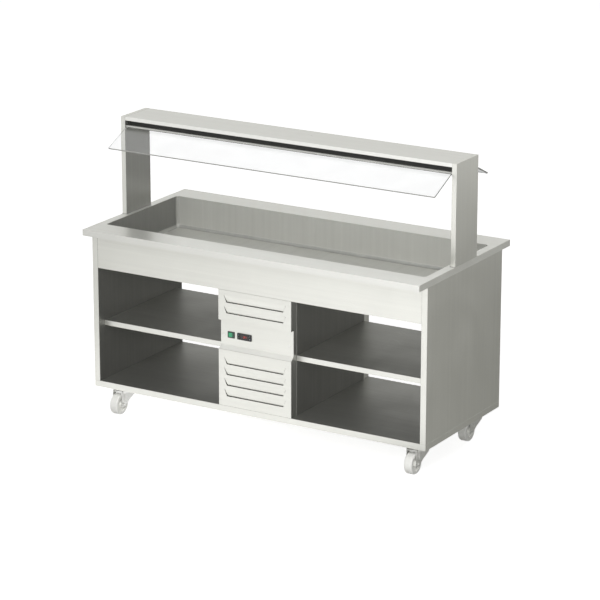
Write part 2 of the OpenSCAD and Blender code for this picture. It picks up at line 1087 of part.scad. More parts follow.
// Welded shell with a seam, a domed top, four feet and a terminal box
module compressor()
{
    shell_z = machine_z + 16;
    seam_z = shell_z + dome_h * 0.55;
    arc_r = dome_r * 1.35;
    cap_z = shell_z + dome_h;
    color([0.08, 0.08, 0.08])
    {
        translate([tray_mid_x, dome_y, 0])
        {
            difference()
            {
                rotate_extrude()
                {
                    intersection()
                    {
                        translate([0, cap_z - arc_r])
                            circle(arc_r);
                        translate([0, shell_z])
                            square([dome_r - 2, dome_h]);
                    }
                    translate([0, shell_z])
                        square([dome_r, seam_z - shell_z]);
                    translate([0, seam_z - 3])
                        square([dome_r + 3, 6]);
                }
                translate([0, 0, shell_z - cut])
                    cylinder(h = 10, r = dome_r * 0.6);
            }
            for (sx = [-1, 1])
                for (sy = [-1, 1])
                    translate([sx * 62, sy * 62, 0])
                        difference()
                        {
                            union()
                            {
                                translate([0, 0, machine_z])
                                    cylinder(h = 14, r = 12);
                                translate([0, 0, machine_z + 14])
                                    cylinder(h = 3, r = 15);
                                rotate([0, 0, atan2(sy, sx)])
                                    block([-30, -13, machine_z + 14], [0, 13, machine_z + 17]);
                            }
                            translate([0, 0, machine_z - cut])
                                cylinder(h = 30, r = 4.2);
                        }
            block([dome_r - 6, -25, shell_z + 20], [dome_r + 16, 25, shell_z + 80]);
            for (stub = [discharge_stub, suction_stub])
                translate([stub[0], stub[1], cap_z - 25])
                    cylinder(h = 25 + stub_h, r = pipe_r + 2);
        }
    }
}

// Fins on tubes in a frame of two end plates and a top plate
module condenser()
{
    low_x = tray_x[0] + 2;
    high_x = low_x + coil_block_w;
    plate_t = 2;
    fin_t = 1;
    step = (coil_block_w - plate_t) / (fin_count - 1);
    tube_rows = 5;
    tube_pitch = coil_block_h / tube_rows;
    tube_r = 4.5;
    color([0.6, 0.6, 0.6])
    {
        for (x = [low_x, high_x - plate_t])
            block([x, coil_block_y, machine_z],
                [x + plate_t, coil_block_y + coil_block_d, machine_z + coil_block_h]);
        block([low_x, coil_block_y + fin_inset, condenser_top - frame_t],
            [high_x, coil_block_y + coil_block_d - fin_inset, condenser_top]);
        for (i = [1:fin_count - 2])
            block([low_x + i * step, coil_block_y + fin_inset, machine_z],
                [low_x + i * step + fin_t, coil_block_y + coil_block_d - fin_inset,
                    condenser_top - frame_t]);
        for (row = [0:tube_rows - 1])
            for (column = [0, 1])
                rod_x([(low_x + high_x) / 2, coil_block_y + 12 + 20 * column,
                    machine_z + (row + 0.5) * tube_pitch], tube_r, coil_block_w + 12);
    }
}

module fan_shroud()
{
    y0 = coil_block_y + coil_block_d;
    y1 = y0 + shroud_d;
    x0 = tray_x[0] + 2;
    x1 = x0 + coil_block_w;
    wall = 2;
    color(dark_steel)
        difference()
        {
            block([x0, y0, machine_z], [x1, y1, machine_z + coil_block_h]);
            block([x0 + wall, y0 - cut, machine_z + wall],
                [x1 - wall, y1 - wall, machine_z + coil_block_h - wall]);
            translate([tray_mid_x, y1 + cut, fan_z])
                rotate([90, 0, 0])
                    cylinder(h = 4, r = fan_r + 5);
        }
}

// Motor behind the fan, on a bracket with four arms, and its shaft
module fan_motor()
{
    back_y = coil_block_y + coil_block_d + shroud_d;
    color(dark_steel)
        translate([tray_mid_x, back_y, fan_z])
        {
            rotate([-90, 0, 0])
            {
                translate([0, 0, 2])
                    cylinder(h = motor_l, r = motor_r);
                translate([0, 0, -38])
                    cylinder(h = 42, r = fan_shaft_r);
            }
            for (a = [45:90:315])
                rotate([0, a, 0])
                    block([motor_r - 4, 0, -6], [fan_r + 16, 3, 6]);
        }
}

// Hub and tilted blades trimmed to a circle
module fan_blades()
{
    depth = 24;
    color([0.1, 0.1, 0.1])
        translate([tray_mid_x, fan_y, fan_z])
            rotate([-90, 0, 0])
                difference()
                {
                    union()
                    {
                        cylinder(h = depth, r = fan_hub_r, center = true);
                        intersection()
                        {
                            for (i = [0:fan_blades_n - 1])
                                rotate([0, 0, i * 360 / fan_blades_n])
                                    rotate([30, 0, 0])
                                        block([fan_hub_r - 4, -22, -1], [fan_r + 5, 22, 1]);
                            cylinder(h = depth - 1, r = fan_r, center = true);
                        }
                    }
                    cylinder(h = depth + cut, r = fan_shaft_r + run_gap, center = true);
                }
}

// Discharge line to the condenser, suction line from the coil and liquid line to it
module refrigerant_pipes()
{
    stub_z = machine_z + 16 + dome_h + stub_h;
    discharge = [tray_mid_x, dome_y] + discharge_stub;
    suction = [tray_mid_x, dome_y] + suction_stub;
    block_y = coil_block_y + 12;
    block_z = condenser_top;
    run_z = max(stub_z + 35, block_z + 28);
    front_y = coil_row(0);
    rear_y = coil_row(coil_runs - 1);
    color([0.75, 0.45, 0.25])
    {
        bent_pipe([[discharge[0], discharge[1], stub_z], [discharge[0], discharge[1], run_z],
            [discharge[0], block_y, run_z], [discharge[0], block_y, block_z]],
            pipe_r, pipe_bend);
        bent_pipe([[suction[0], suction[1], stub_z], [suction[0], suction[1], stub_z + 65],
            [suction[0], rear_y, stub_z + 65], [line_x, rear_y, stub_z + 65],
            [line_x, rear_y, line_z]], pipe_r, pipe_bend);
        bent_pipe([[line_x + 35, front_y, block_z], [line_x + 35, front_y, block_z + 60],
            [line_x, front_y, block_z + 60], [line_x, front_y, line_z]], pipe_r, pipe_bend);
    }
}

// ---- Casters: each about its own swivel axis ----

module caster_plates()
{
    plate_z = caster_h - plate_size[2];
    color(dark_steel)
        at_casters()
        {
            difference()
            {
                translate([0, 0, plate_z])
                    linear_extrude(plate_size[2])
                        round_rect(plate_size[0], plate_size[1], 8);
                plate_holes(plate_z - cut, caster_h + cut, bolt_hole_r);
            }
            translate([0, 0, plate_z - race_h])
                cylinder(h = race_h, r = race_r);
            translate([0, 0, crown_z - crown_t - free_gap])
                cylinder(h = crown_t + 2 * free_gap + cut, r = king_r);
            translate([0, 0, crown_z - crown_t - free_gap - king_head_h])
                cylinder(h = king_head_h, r = king_head_r);
        }
}

module caster_bolts()
{
    nut_z = base_z + beam_t;
    color(dark_steel)
        at_casters()
            for (sx = [-1, 1])
                for (sy = [-1, 1])
                    translate([sx * plate_hole_x / 2, sy * plate_hole_y / 2, 0])
                    {
                        translate([0, 0, caster_h - plate_size[2] - bolt_head_h])
                            cylinder(h = bolt_head_h, r = bolt_head_r, $fn = 6);
                        translate([0, 0, caster_h - plate_size[2] - 1])
                            cylinder(h = nut_z - caster_h + plate_size[2] + 9, r = bolt_r);
                        translate([0, 0, nut_z])
                            cylinder(h = bolt_head_h, r = bolt_head_r, $fn = 6);
                    }
}

// Side plate of the fork: upright in front and sloping behind, its rear part pressed out
module fork_side()
{
    top = crown_z - fork_drop;
    foot = wheel_r - fork_end_r * 0.7;
    knee = [fork_knee[0], top - fork_knee[1]];
    rear_foot = [-trail + fork_end_r, foot + 2];
    hub_top = wheel_r + fork_end_r;
    swage_foot = [-trail + fork_end_r + 4, hub_top - 9];
    rotate([90, 0, 90])
        difference()
        {
            union()
            {
                linear_extrude(fork_t)
                    polygon([[-fork_front, top], [fork_back, top], knee, rear_foot,
                        [-trail + fork_end_r * 0.6, foot], [-fork_front, foot]]);
                linear_extrude(fork_t + swage_t)
                    polygon([[-swage_front, top], [fork_back, top], knee,
                        swage_foot, [-swage_front, hub_top]]);
            }
            translate([0, 0, -cut])
                linear_extrude(swage_t + cut)
                    polygon([[-swage_front + fork_t, top - crown_t], [fork_back - fork_t, top - crown_t],
                        knee - [fork_t * 1.5, 0], swage_foot + [0, fork_t * 1.5],
                        [-swage_front + fork_t, hub_top + fork_t]]);
        }
}

// Profile of the fork's cap: a raised boss round the king pin, a flange and a skirt
module crown_profile()
{
    flange_z = crown_z - fork_drop;
    translate([0, crown_z - crown_t])
        square([boss_r, crown_t]);
    translate([boss_r - skirt_t, flange_z - crown_t])
        square([crown_r - boss_r + skirt_t, crown_t]);
    translate([crown_r - skirt_t, flange_z - skirt_h])
        square([skirt_t, skirt_h]);
}

// Pressed fork: a dished cap over the head and two side plates with flanges along their tops
module caster_fork()
{
    flange_z = crown_z - fork_drop;
    color(dark_steel)
        difference()
        {
            union()
            {
                left_and_right()
                {
                    translate([fork_gap, 0, 0])
                        fork_side();
                    block([fork_gap - fork_t / 2, -swage_front, flange_z - crown_t],
                        [fork_gap + fork_t + swage_t, fork_back, flange_z]);
                }
                rotate_extrude()
                    crown_profile();
            }
            translate([0, 0, crown_z - crown_t - cut])
                cylinder(h = crown_t + 2 * cut, r = king_r + run_gap);
            rod_x([0, -trail, wheel_r], axle_r + 0.1, 4 * fork_gap);
        }
}

module caster_axle()
{
    outer = fork_gap + fork_t;
    color(dark_steel)
        translate([0, -trail, wheel_r])
            rotate([0, 90, 0])
            {
                cylinder(h = 2 * outer + 12, r = axle_r, center = true);
                translate([0, 0, outer])
                    cylinder(h = axle_head_h, r = axle_head_r, $fn = 6);
                translate([0, 0, -outer - axle_head_h])
                    cylinder(h = axle_head_h, r = axle_head_r, $fn = 6);
            }
}

// Solid wheel: round-edged tread, thin web and a hub that fills the fork
module caster_wheel()
{
    hub_w = 2 * (fork_gap - free_gap);
    bore_r = axle_r + run_gap;
    color([0.93, 0.93, 0.9])
        translate([0, -trail, wheel_r])
            rotate([0, 90, 0])
                rotate_extrude()
                {
                    translate([rim_in_r, -wheel_w / 2 + tread_round])
                        square([wheel_r - rim_in_r, wheel_w - 2 * tread_round]);
                    translate([rim_in_r, -wheel_w / 2])
                        square([wheel_r - rim_in_r - tread_round, wheel_w]);
                    for (s = [-1, 1])
                        translate([wheel_r - tread_round, s * (wheel_w / 2 - tread_round)])
                            circle(tread_round);
                    translate([bore_r, -web_w / 2])
                        square([rim_in_r - bore_r + cut, web_w]);
                    translate([bore_r, -hub_w / 2])
                        square([hub_r - bore_r, hub_w]);
                }
}

module front_left()
{
    translate([-swivel_x, -swivel_y, 0])
        children();
}

module front_right()
{
    translate([swivel_x, -swivel_y, 0])
        children();
}

module rear_left()
{
    translate([-swivel_x, swivel_y, 0])
        children();
}

module rear_right()
{
    translate([swivel_x, swivel_y, 0])
        children();
}

base_tray();
caster_beams();
caster_plates();
caster_bolts();
side_panel_left();
side_panel_right();
partition_left();
partition_right();
shelf_left();
shelf_right();
apron_front();
apron_rear();
counter_top();
well_tank();
insulation();
well_casing();
evaporator_coil();
drain_pipe();
upright_left();
upright_right();
rail_bushes();
canopy_shelf();
lamp_housing();
lamp_diffuser();
light_tube();
guard_rail_front();
glass_front();
guard_rail_rear();
glass_rear();
upper_cover();
control_panel();
lower_cover();
rear_cover();
switch_bezel();
switch_rocker();
controller();
controller_display();
key_up();
key_down();
key_set();
key_power();
unit_tray();
compressor();
condenser();
fan_shroud();
fan_motor();
fan_blades();
refrigerant_pipes();
front_left() caster_fork();  // fork_front_left
front_left() caster_wheel();  // wheel_front_left
front_left() caster_axle();  // axle_front_left
front_right() caster_fork();  // fork_front_right
front_right() caster_wheel();  // wheel_front_right
front_right() caster_axle();  // axle_front_right
rear_left() caster_fork();  // fork_rear_left
rear_left() caster_wheel();  // wheel_rear_left
rear_left() caster_axle();  // axle_rear_left
rear_right() caster_fork();  // fork_rear_right
rear_right() caster_wheel();  // wheel_rear_right
rear_right() caster_axle();  // axle_rear_right
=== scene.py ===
import bpy
import json
import math
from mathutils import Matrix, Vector

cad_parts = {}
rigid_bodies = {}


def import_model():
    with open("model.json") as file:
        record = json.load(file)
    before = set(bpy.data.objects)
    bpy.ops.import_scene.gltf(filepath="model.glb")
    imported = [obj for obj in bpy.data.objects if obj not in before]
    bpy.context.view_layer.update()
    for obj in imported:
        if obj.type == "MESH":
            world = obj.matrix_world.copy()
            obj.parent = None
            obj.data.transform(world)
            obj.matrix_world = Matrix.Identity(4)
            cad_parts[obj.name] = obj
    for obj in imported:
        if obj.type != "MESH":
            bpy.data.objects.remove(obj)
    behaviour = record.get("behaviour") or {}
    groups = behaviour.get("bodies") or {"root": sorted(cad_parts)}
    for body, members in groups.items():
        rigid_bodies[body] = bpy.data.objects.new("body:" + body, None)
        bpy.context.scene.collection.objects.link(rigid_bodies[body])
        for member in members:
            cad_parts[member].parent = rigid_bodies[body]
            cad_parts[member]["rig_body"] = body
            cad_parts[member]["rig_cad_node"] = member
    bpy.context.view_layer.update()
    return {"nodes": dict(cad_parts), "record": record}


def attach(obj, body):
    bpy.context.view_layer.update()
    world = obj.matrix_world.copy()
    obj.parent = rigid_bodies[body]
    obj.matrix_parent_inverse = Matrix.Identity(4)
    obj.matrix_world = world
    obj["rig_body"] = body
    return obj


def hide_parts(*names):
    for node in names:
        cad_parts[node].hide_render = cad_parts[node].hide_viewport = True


# Mobile salad bar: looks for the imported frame. Metres, +Z up, the front faces -Y.

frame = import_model()
nodes = frame["nodes"]
bpy.ops.object.select_all(action="DESELECT")
print("frame loaded:", len(nodes), "nodes")


# camera, fitted to the photograph

view = {
    "place": (5.5775, -9.2730, 3.8013),
    "direction": (-0.4936, 0.8207, -0.2877),
    "lens": 173.49,
    "sensor": 36,
    "shift": (0.00833, -0.015),
    "farEnd": 60,
}


def makeCamera():
    bpy.ops.object.camera_add(location=view["place"])
    camera = bpy.context.object
    camera.rotation_euler = Vector(view["direction"]).to_track_quat("-Z", "Y").to_euler()
    camera.data.sensor_width = view["sensor"]
    camera.data.lens = view["lens"]
    camera.data.shift_x, camera.data.shift_y = view["shift"]
    camera.data.clip_end = view["farEnd"]
    bpy.context.scene.camera = camera


makeCamera()
print("camera set")


# small helpers for node trees

white = (1, 1, 1, 1)
mixA, mixB, mixResult = 6, 7, 2  # the colour sockets of a Mix node


def addNode(tree, kind, values=None, **settings):
    node = tree.nodes.new(kind)
    for key, value in settings.items():
        setattr(node, key, value)
    for socket, value in (values or {}).items():
        node.inputs[socket].default_value = value
    return node


def join(tree, *pairs):
    for start, end in pairs:
        tree.links.new(start, end)


def asColor(value):
    return (*value, 1)


# studio

studio = {
    "floorSize": 40,
    "floorColor": (0.60, 0.60, 0.594),
    "floorRough": 0.95,
    "floorLift": (0.83, 1.0),  # white added for the eye and for mirrors only, near and far
    "floorReach": (5.0, 14.0),  # distances at which near ends and far begins
    "worldLight": 0.15,
    "lampTarget": (0, 0, 0.6),
    # name: power, place, size
    "lamps": {
        "key": (370, (2.2, -6.8, 4.8), 4.0),
        "top": (40, (0.6, -0.6, 5.6), 3.5),
        "back": (80, (-3.0, 5.2, 4.4), 4.5),
        "side": (100, (4.2, -5.4, 0.6), 2.5),
    },
    # name: middle, width, depth, turn about Z, lean, colour on the left, colour on the right
    "cards": {
        "floorCard": ((-0.25, 3.4, 0.004), 2.6, 6.0, 0, 0,
                      (0.22, 0.22, 0.213), (0.22, 0.22, 0.213)),
        "sideCard": ((1.85, 2.43, 0.006), 3.0, 6.4, -31, 0,
                     (0.02, 0.02, 0.019), (0.58, 0.58, 0.545)),
        "backCard": ((0, 3.6, 2.5), 16.0, 5.0, 0, 90,
                     (0.62, 0.62, 0.60), (0.98, 0.98, 0.955)),
        "frontCard": ((-2.4, -2.0, 0.005), 2.4, 3.4, 0, 0,
                      (0.30, 0.30, 0.29), (0.92, 0.92, 0.90)),
    },
}


def addLamp(power, place, size):
    bpy.ops.object.light_add(type="AREA", location=place)
    lamp = bpy.context.object
    lamp.data.energy = power
    lamp.data.size = size
    aim = Vector(studio["lampTarget"]) - lamp.location
    lamp.rotation_euler = aim.to_track_quat("-Z", "Y").to_euler()


def seesWhite(tree):
    # 1 for what the eye, a mirror or clear glass sees, 0 for everything that lights the object
    path = addNode(tree, "ShaderNodeLightPath")
    total = path.outputs["Is Camera Ray"]
    for ray in ("Is Glossy Ray", "Is Transmission Ray"):
        larger = addNode(tree, "ShaderNodeMath", operation="MAXIMUM")
        join(tree, (total, larger.inputs[0]), (path.outputs[ray], larger.inputs[1]))
        total = larger.outputs[0]
    return total


def makeWorld():
    world = bpy.data.worlds.new("studioWorld")
    bpy.context.scene.world = world
    world.use_nodes = True
    tree = world.node_tree
    soft = tree.nodes["Background"]
    soft.inputs["Color"].default_value = white
    soft.inputs["Strength"].default_value = studio["worldLight"]
    plain = addNode(tree, "ShaderNodeBackground", {"Color": white, "Strength": 1})
    mix = addNode(tree, "ShaderNodeMixShader")
    join(tree, (seesWhite(tree), mix.inputs[0]),
         (soft.outputs[0], mix.inputs[1]),
         (plain.outputs[0], mix.inputs[2]),
         (mix.outputs[0], tree.nodes["World Output"].inputs["Surface"]))


def makeFloor():
    bpy.ops.mesh.primitive_plane_add(size=studio["floorSize"])
    floor = bpy.context.object
    floor.name = "studioFloor"
    material = bpy.data.materials.new("paleFloor")
    material.use_nodes = True
    floor.data.materials.append(material)
    tree = material.node_tree
    paint = tree.nodes["Principled BSDF"]
    paint.inputs["Base Color"].default_value = asColor(studio["floorColor"])
    paint.inputs["Roughness"].default_value = studio["floorRough"]
    paint.inputs["Specular IOR Level"].default_value = 0
    coords = addNode(tree, "ShaderNodeTexCoord")
    away = addNode(tree, "ShaderNodeVectorMath", operation="LENGTH")
    near, far = studio["floorReach"]
    low, high = studio["floorLift"]
    grow = addNode(tree, "ShaderNodeMapRange",
                   {"From Min": near, "From Max": far, "To Min": low, "To Max": high})
    lift = addNode(tree, "ShaderNodeMath", operation="MULTIPLY")
    glow = addNode(tree, "ShaderNodeEmission", {"Color": white})
    both = addNode(tree, "ShaderNodeAddShader")
    join(tree, (coords.outputs["Object"], away.inputs[0]),
         (away.outputs["Value"], grow.inputs["Value"]),
         (seesWhite(tree), lift.inputs[0]),
         (grow.outputs[0], lift.inputs[1]),
         (lift.outputs[0], glow.inputs["Strength"]),
         (paint.outputs[0], both.inputs[0]),
         (glow.outputs[0], both.inputs[1]),
         (both.outputs[0], tree.nodes["Material Output"].inputs["Surface"]))


def makeCard(name, place, width, depth, turn, lean, leftColor, rightColor):
    # card in graded grey that only reflections see
    bpy.ops.mesh.primitive_plane_add(size=1, location=place,
                                     rotation=(math.radians(lean), 0, math.radians(turn)))
    card = bpy.context.object
    card.name = name
    card.scale = (width, depth, 1)
    card.visible_camera = False
    card.visible_diffuse = False
    card.visible_shadow = False
    card.visible_transmission = False
    material = bpy.data.materials.new(name)
    material.use_nodes = True
    card.data.materials.append(material)
    tree = material.node_tree
    tree.nodes.remove(tree.nodes["Principled BSDF"])
    coords = addNode(tree, "ShaderNodeTexCoord")
    split = addNode(tree, "ShaderNodeSeparateXYZ")
    across = addNode(tree, "ShaderNodeMapRange", {"From Min": -0.5, "From Max": 0.5})
    mix = addNode(tree, "ShaderNodeMix",
                  {mixA: asColor(leftColor), mixB: asColor(rightColor)}, data_type="RGBA")
    glow = addNode(tree, "ShaderNodeEmission", {"Strength": 1})
    path = addNode(tree, "ShaderNodeLightPath")
    clear = addNode(tree, "ShaderNodeBsdfTransparent")
    seen = addNode(tree, "ShaderNodeMixShader")
    join(tree, (coords.outputs["Object"], split.inputs[0]),
         (split.outputs["X"], across.inputs["Value"]),
         (across.outputs[0], mix.inputs["Factor"]),
         (mix.outputs[mixResult], glow.inputs["Color"]),
         (path.outputs["Is Transmission Ray"], seen.inputs[0]),
         (glow.outputs[0], seen.inputs[1]),
         (clear.outputs[0], seen.inputs[2]),
         (seen.outputs[0], tree.nodes["Material Output"].inputs["Surface"]))


bpy.context.scene.view_settings.view_transform = "Standard"
makeWorld()
makeFloor()
for cardName, card in studio["cards"].items():
    makeCard(cardName, *card)
for lamp in studio["lamps"].values():
    addLamp(*lamp)
print("studio set")


# shader groups shared by the finishes

def startGroup(name, inputs, outputs):
    group = bpy.data.node_groups.new(name, "ShaderNodeTree")
    for label, kind, value in inputs:
        socket = group.interface.new_socket(label, in_out="INPUT",
                                            socket_type="NodeSocket" + kind)
        socket.default_value = value
    for label, kind in outputs:
        group.interface.new_socket(label, in_out="OUTPUT", socket_type="NodeSocket" + kind)
    given = addNode(group, "NodeGroupInput").outputs
    result = addNode(group, "NodeGroupOutput").inputs
    return group, given, result


def makeBrushedGrain():
    # fine lines of a belt finish and broader bands, both drawn out along the grain
    group, given, result = startGroup(
        "brushedGrain",
        [("Vector", "Vector", (0, 0, 0)), ("Lines", "Vector", (5, 1000, 1000)),
         ("Bands", "Vector", (0.8, 60, 60))],
        [("Line", "Float"), ("Band", "Float")])
    for label, start, detail in (("Line", "Lines", 3), ("Band", "Bands", 2)):
        drawn = addNode(group, "ShaderNodeVectorMath", operation="MULTIPLY")
        noise = addNode(group, "ShaderNodeTexNoise",
                        {"Scale": 1, "Detail": detail, "Roughness": 0.6})
        join(group, (given["Vector"], drawn.inputs[0]),
             (given[start], drawn.inputs[1]),
             (drawn.outputs[0], noise.inputs["Vector"]),
             (noise.outputs["Fac"], result[label]))
    return group


def makeHandSmear():
    # cloudy patches where hands and cloths have been
    group, given, result = startGroup(
        "handSmear",
        [("Vector", "Vector", (0, 0, 0)), ("Size", "Float", 5.0)],
        [("Smear", "Float")])
    noise = addNode(group, "ShaderNodeTexNoise",
                    {"Detail": 4, "Roughness": 0.55, "Distortion": 0.6})
    spread = addNode(group, "ShaderNodeMapRange", {"From Min": 0.35, "From Max": 0.68})
    join(group, (given["Vector"], noise.inputs["Vector"]),
         (given["Size"], noise.inputs["Scale"]),
         (noise.outputs["Fac"], spread.inputs["Value"]),
         (spread.outputs[0], result["Smear"]))
    return group


def makeFineScratch():
    # sparse hairline scratches
    group, given, result = startGroup(
        "fineScratch",
        [("Vector", "Vector", (0, 0, 0)), ("Spread", "Vector", (7, 7, 40)),
         ("Width", "Float", 0.012)],
        [("Scratch", "Float")])
    drawn = addNode(group, "ShaderNodeVectorMath", operation="MULTIPLY")
    bent = addNode(group, "ShaderNodeTexNoise", {"Scale": 3, "Detail": 2})
    added = addNode(group, "ShaderNodeVectorMath", operation="ADD")
    cells = addNode(group, "ShaderNodeTexVoronoi", {"Scale": 1}, feature="DISTANCE_TO_EDGE")
    line = addNode(group, "ShaderNodeMapRange", {"From Min": 0, "To Min": 1, "To Max": 0})
    patch = addNode(group, "ShaderNodeTexNoise", {"Scale": 9, "Detail": 1})
    few = addNode(group, "ShaderNodeMapRange", {"From Min": 0.55, "From Max": 0.7})
    both = addNode(group, "ShaderNodeMath", operation="MULTIPLY")
    join(group, (given["Vector"], drawn.inputs[0]),
         (given["Spread"], drawn.inputs[1]),
         (given["Vector"], bent.inputs["Vector"]),
         (drawn.outputs[0], added.inputs[0]),
         (bent.outputs["Color"], added.inputs[1]),
         (added.outputs[0], cells.inputs["Vector"]),
         (cells.outputs["Distance"], line.inputs["Value"]),
         (given["Width"], line.inputs["From Max"]),
         (given["Vector"], patch.inputs["Vector"]),
         (patch.outputs["Fac"], few.inputs["Value"]),
         (line.outputs[0], both.inputs[0]),
         (few.outputs[0], both.inputs[1]),
         (both.outputs[0], result["Scratch"]))
    return group


def makeSettledDust():
    # a thin veil on faces that look up
    group, given, result = startGroup(
        "settledDust",
        [("Vector", "Vector", (0, 0, 0)), ("Size", "Float", 30.0)],
        [("Dust", "Float")])
    shape = addNode(group, "ShaderNodeNewGeometry")
    split = addNode(group, "ShaderNodeSeparateXYZ")
    up = addNode(group, "ShaderNodeMapRange", {"From Min": 0.6, "From Max": 1.0})
    noise = addNode(group, "ShaderNodeTexNoise", {"Detail": 5, "Roughness": 0.7})
    both = addNode(group, "ShaderNodeMath", operation="MULTIPLY")
    join(group, (shape.outputs["Normal"], split.inputs[0]),
         (split.outputs["Z"], up.inputs["Value"]),
         (given["Vector"], noise.inputs["Vector"]),
         (given["Size"], noise.inputs["Scale"]),
         (up.outputs[0], both.inputs[0]),
         (noise.outputs["Fac"], both.inputs[1]),
         (both.outputs[0], result["Dust"]))
    return group


def makeTone():
    # two colours of a finish, mixed by a pattern
    group, given, result = startGroup(
        "tone",
        [("Dark", "Color", (0, 0, 0, 1)), ("Pale", "Color", white), ("Amount", "Float", 0.5)],
        [("Color", "Color")])
    mix = addNode(group, "ShaderNodeMix", data_type="RGBA")
    join(group, (given["Amount"], mix.inputs["Factor"]),
         (given["Dark"], mix.inputs[mixA]),
         (given["Pale"], mix.inputs[mixB]),
         (mix.outputs[mixResult], result["Color"]))
    return group


groups = {
    "grain": makeBrushedGrain(),
    "smear": makeHandSmear(),
    "scratch": makeFineScratch(),
    "dust": makeSettledDust(),
    "tone": makeTone(),
}
print("shader groups made")


# finishes

class Finish:
    # one material and the few links that every finish here needs
    def __init__(self, name, metallic=0.0, **values):
        self.material = bpy.data.materials.new(name)
        self.material.use_nodes = True
        self.tree = self.material.node_tree
        self.paint = self.tree.nodes["Principled BSDF"]
        self.paint.inputs["Metallic"].default_value = metallic
        for socket, value in values.items():
            self.paint.inputs[socket.replace("_", " ")].default_value = value
        self.place = addNode(self.tree, "ShaderNodeTexCoord").outputs["Object"]

    def use(self, group, values=None):
        node = addNode(self.tree, "ShaderNodeGroup", node_tree=groups[group])
        for socket, value in (values or {}).items():
            node.inputs[socket].default_value = value
        if "Vector" in node.inputs:
            join(self.tree, (self.place, node.inputs["Vector"]))
        return node.outputs

    def noise(self, scale, detail=2, roughness=0.5):
        node = addNode(self.tree, "ShaderNodeTexNoise",
                       {"Scale": scale, "Detail": detail, "Roughness": roughness})
        join(self.tree, (self.place, node.inputs["Vector"]))
        return node.outputs["Fac"]

    def blend(self, *parts):
        # weighted sum of patterns: (socket, weight), ...
        total = None
        for socket, weight in parts:
            step = addNode(self.tree, "ShaderNodeMath", {1: weight, 2: 0},
                           operation="MULTIPLY_ADD")
            join(self.tree, (socket, step.inputs[0]))
            if total:
                join(self.tree, (total, step.inputs[2]))
            total = step.outputs[0]
        return total

    def mixTones(self, dark, pale, amount, socket):
        made = self.use("tone", {"Dark": asColor(dark), "Pale": asColor(pale)})
        join(self.tree, (amount, self.tree.nodes[-1].inputs["Amount"]),
             (made["Color"], self.paint.inputs[socket]))

    def color(self, dark, pale, amount):
        self.mixTones(dark, pale, amount, "Base Color")

    def shine(self, dark, pale, amount):
        self.mixTones(dark, pale, amount, "Emission Color")

    def rough(self, low, high, amount):
        spread = addNode(self.tree, "ShaderNodeMapRange", {"To Min": low, "To Max": high})
        join(self.tree, (amount, spread.inputs["Value"]),
             (spread.outputs[0], self.paint.inputs["Roughness"]))

    def bump(self, height, strength, distance):
        node = addNode(self.tree, "ShaderNodeBump", {"Strength": strength, "Distance": distance})
        join(self.tree, (height, node.inputs["Height"]),
             (node.outputs[0], self.paint.inputs["Normal"]))


steelLook = {
    "dark": (0.66, 0.66, 0.62),
    "pale": (0.80, 0.80, 0.755),
    "metallic": 0.88,
    "roughLow": 0.26,
    "roughHigh": 0.46,
    "grainHeight": 0.00006,
    "grainStrength": 0.25,
    "smearSize": 4,
}


def makeSteel(name, lines, bands, **changes):
    look = {**steelLook, **changes}
    finish = Finish(name, look["metallic"])
    grain = finish.use("grain", {"Lines": lines, "Bands": bands})
    smear = finish.use("smear", {"Size": look["smearSize"]})["Smear"]
    scratch = finish.use("scratch")["Scratch"]
    tone = finish.blend((grain["Band"], 0.55), (grain["Line"], 0.45), (smear, -0.12),
                        (scratch, 0.15))
    finish.color(look["dark"], look["pale"], tone)
    finish.rough(look["roughLow"], look["roughHigh"],
                 finish.blend((grain["Line"], 0.5), (smear, 0.45), (scratch, -0.3)))
    finish.bump(grain["Line"], look["grainStrength"], look["grainHeight"])
    return finish.material


# directions of the brushing, and how the reflections of shaded sheets differ
alongX = {"lines": (6, 1100, 1100), "bands": (0.9, 70, 70)}
alongZ = {"lines": (1100, 1100, 6), "bands": (70, 70, 0.9)}
wellWall = {"lines": (1100, 40, 8), "bands": (55, 3, 1.2), "metallic": 0.5}
wellEnd = {"lines": (40, 1100, 8), "bands": (3, 55, 1.2), "metallic": 0.6}
wellRough = {"roughLow": 0.42, "roughHigh": 0.62}
bayShade = {"metallic": 0.7, "roughLow": 0.36, "roughHigh": 0.56}

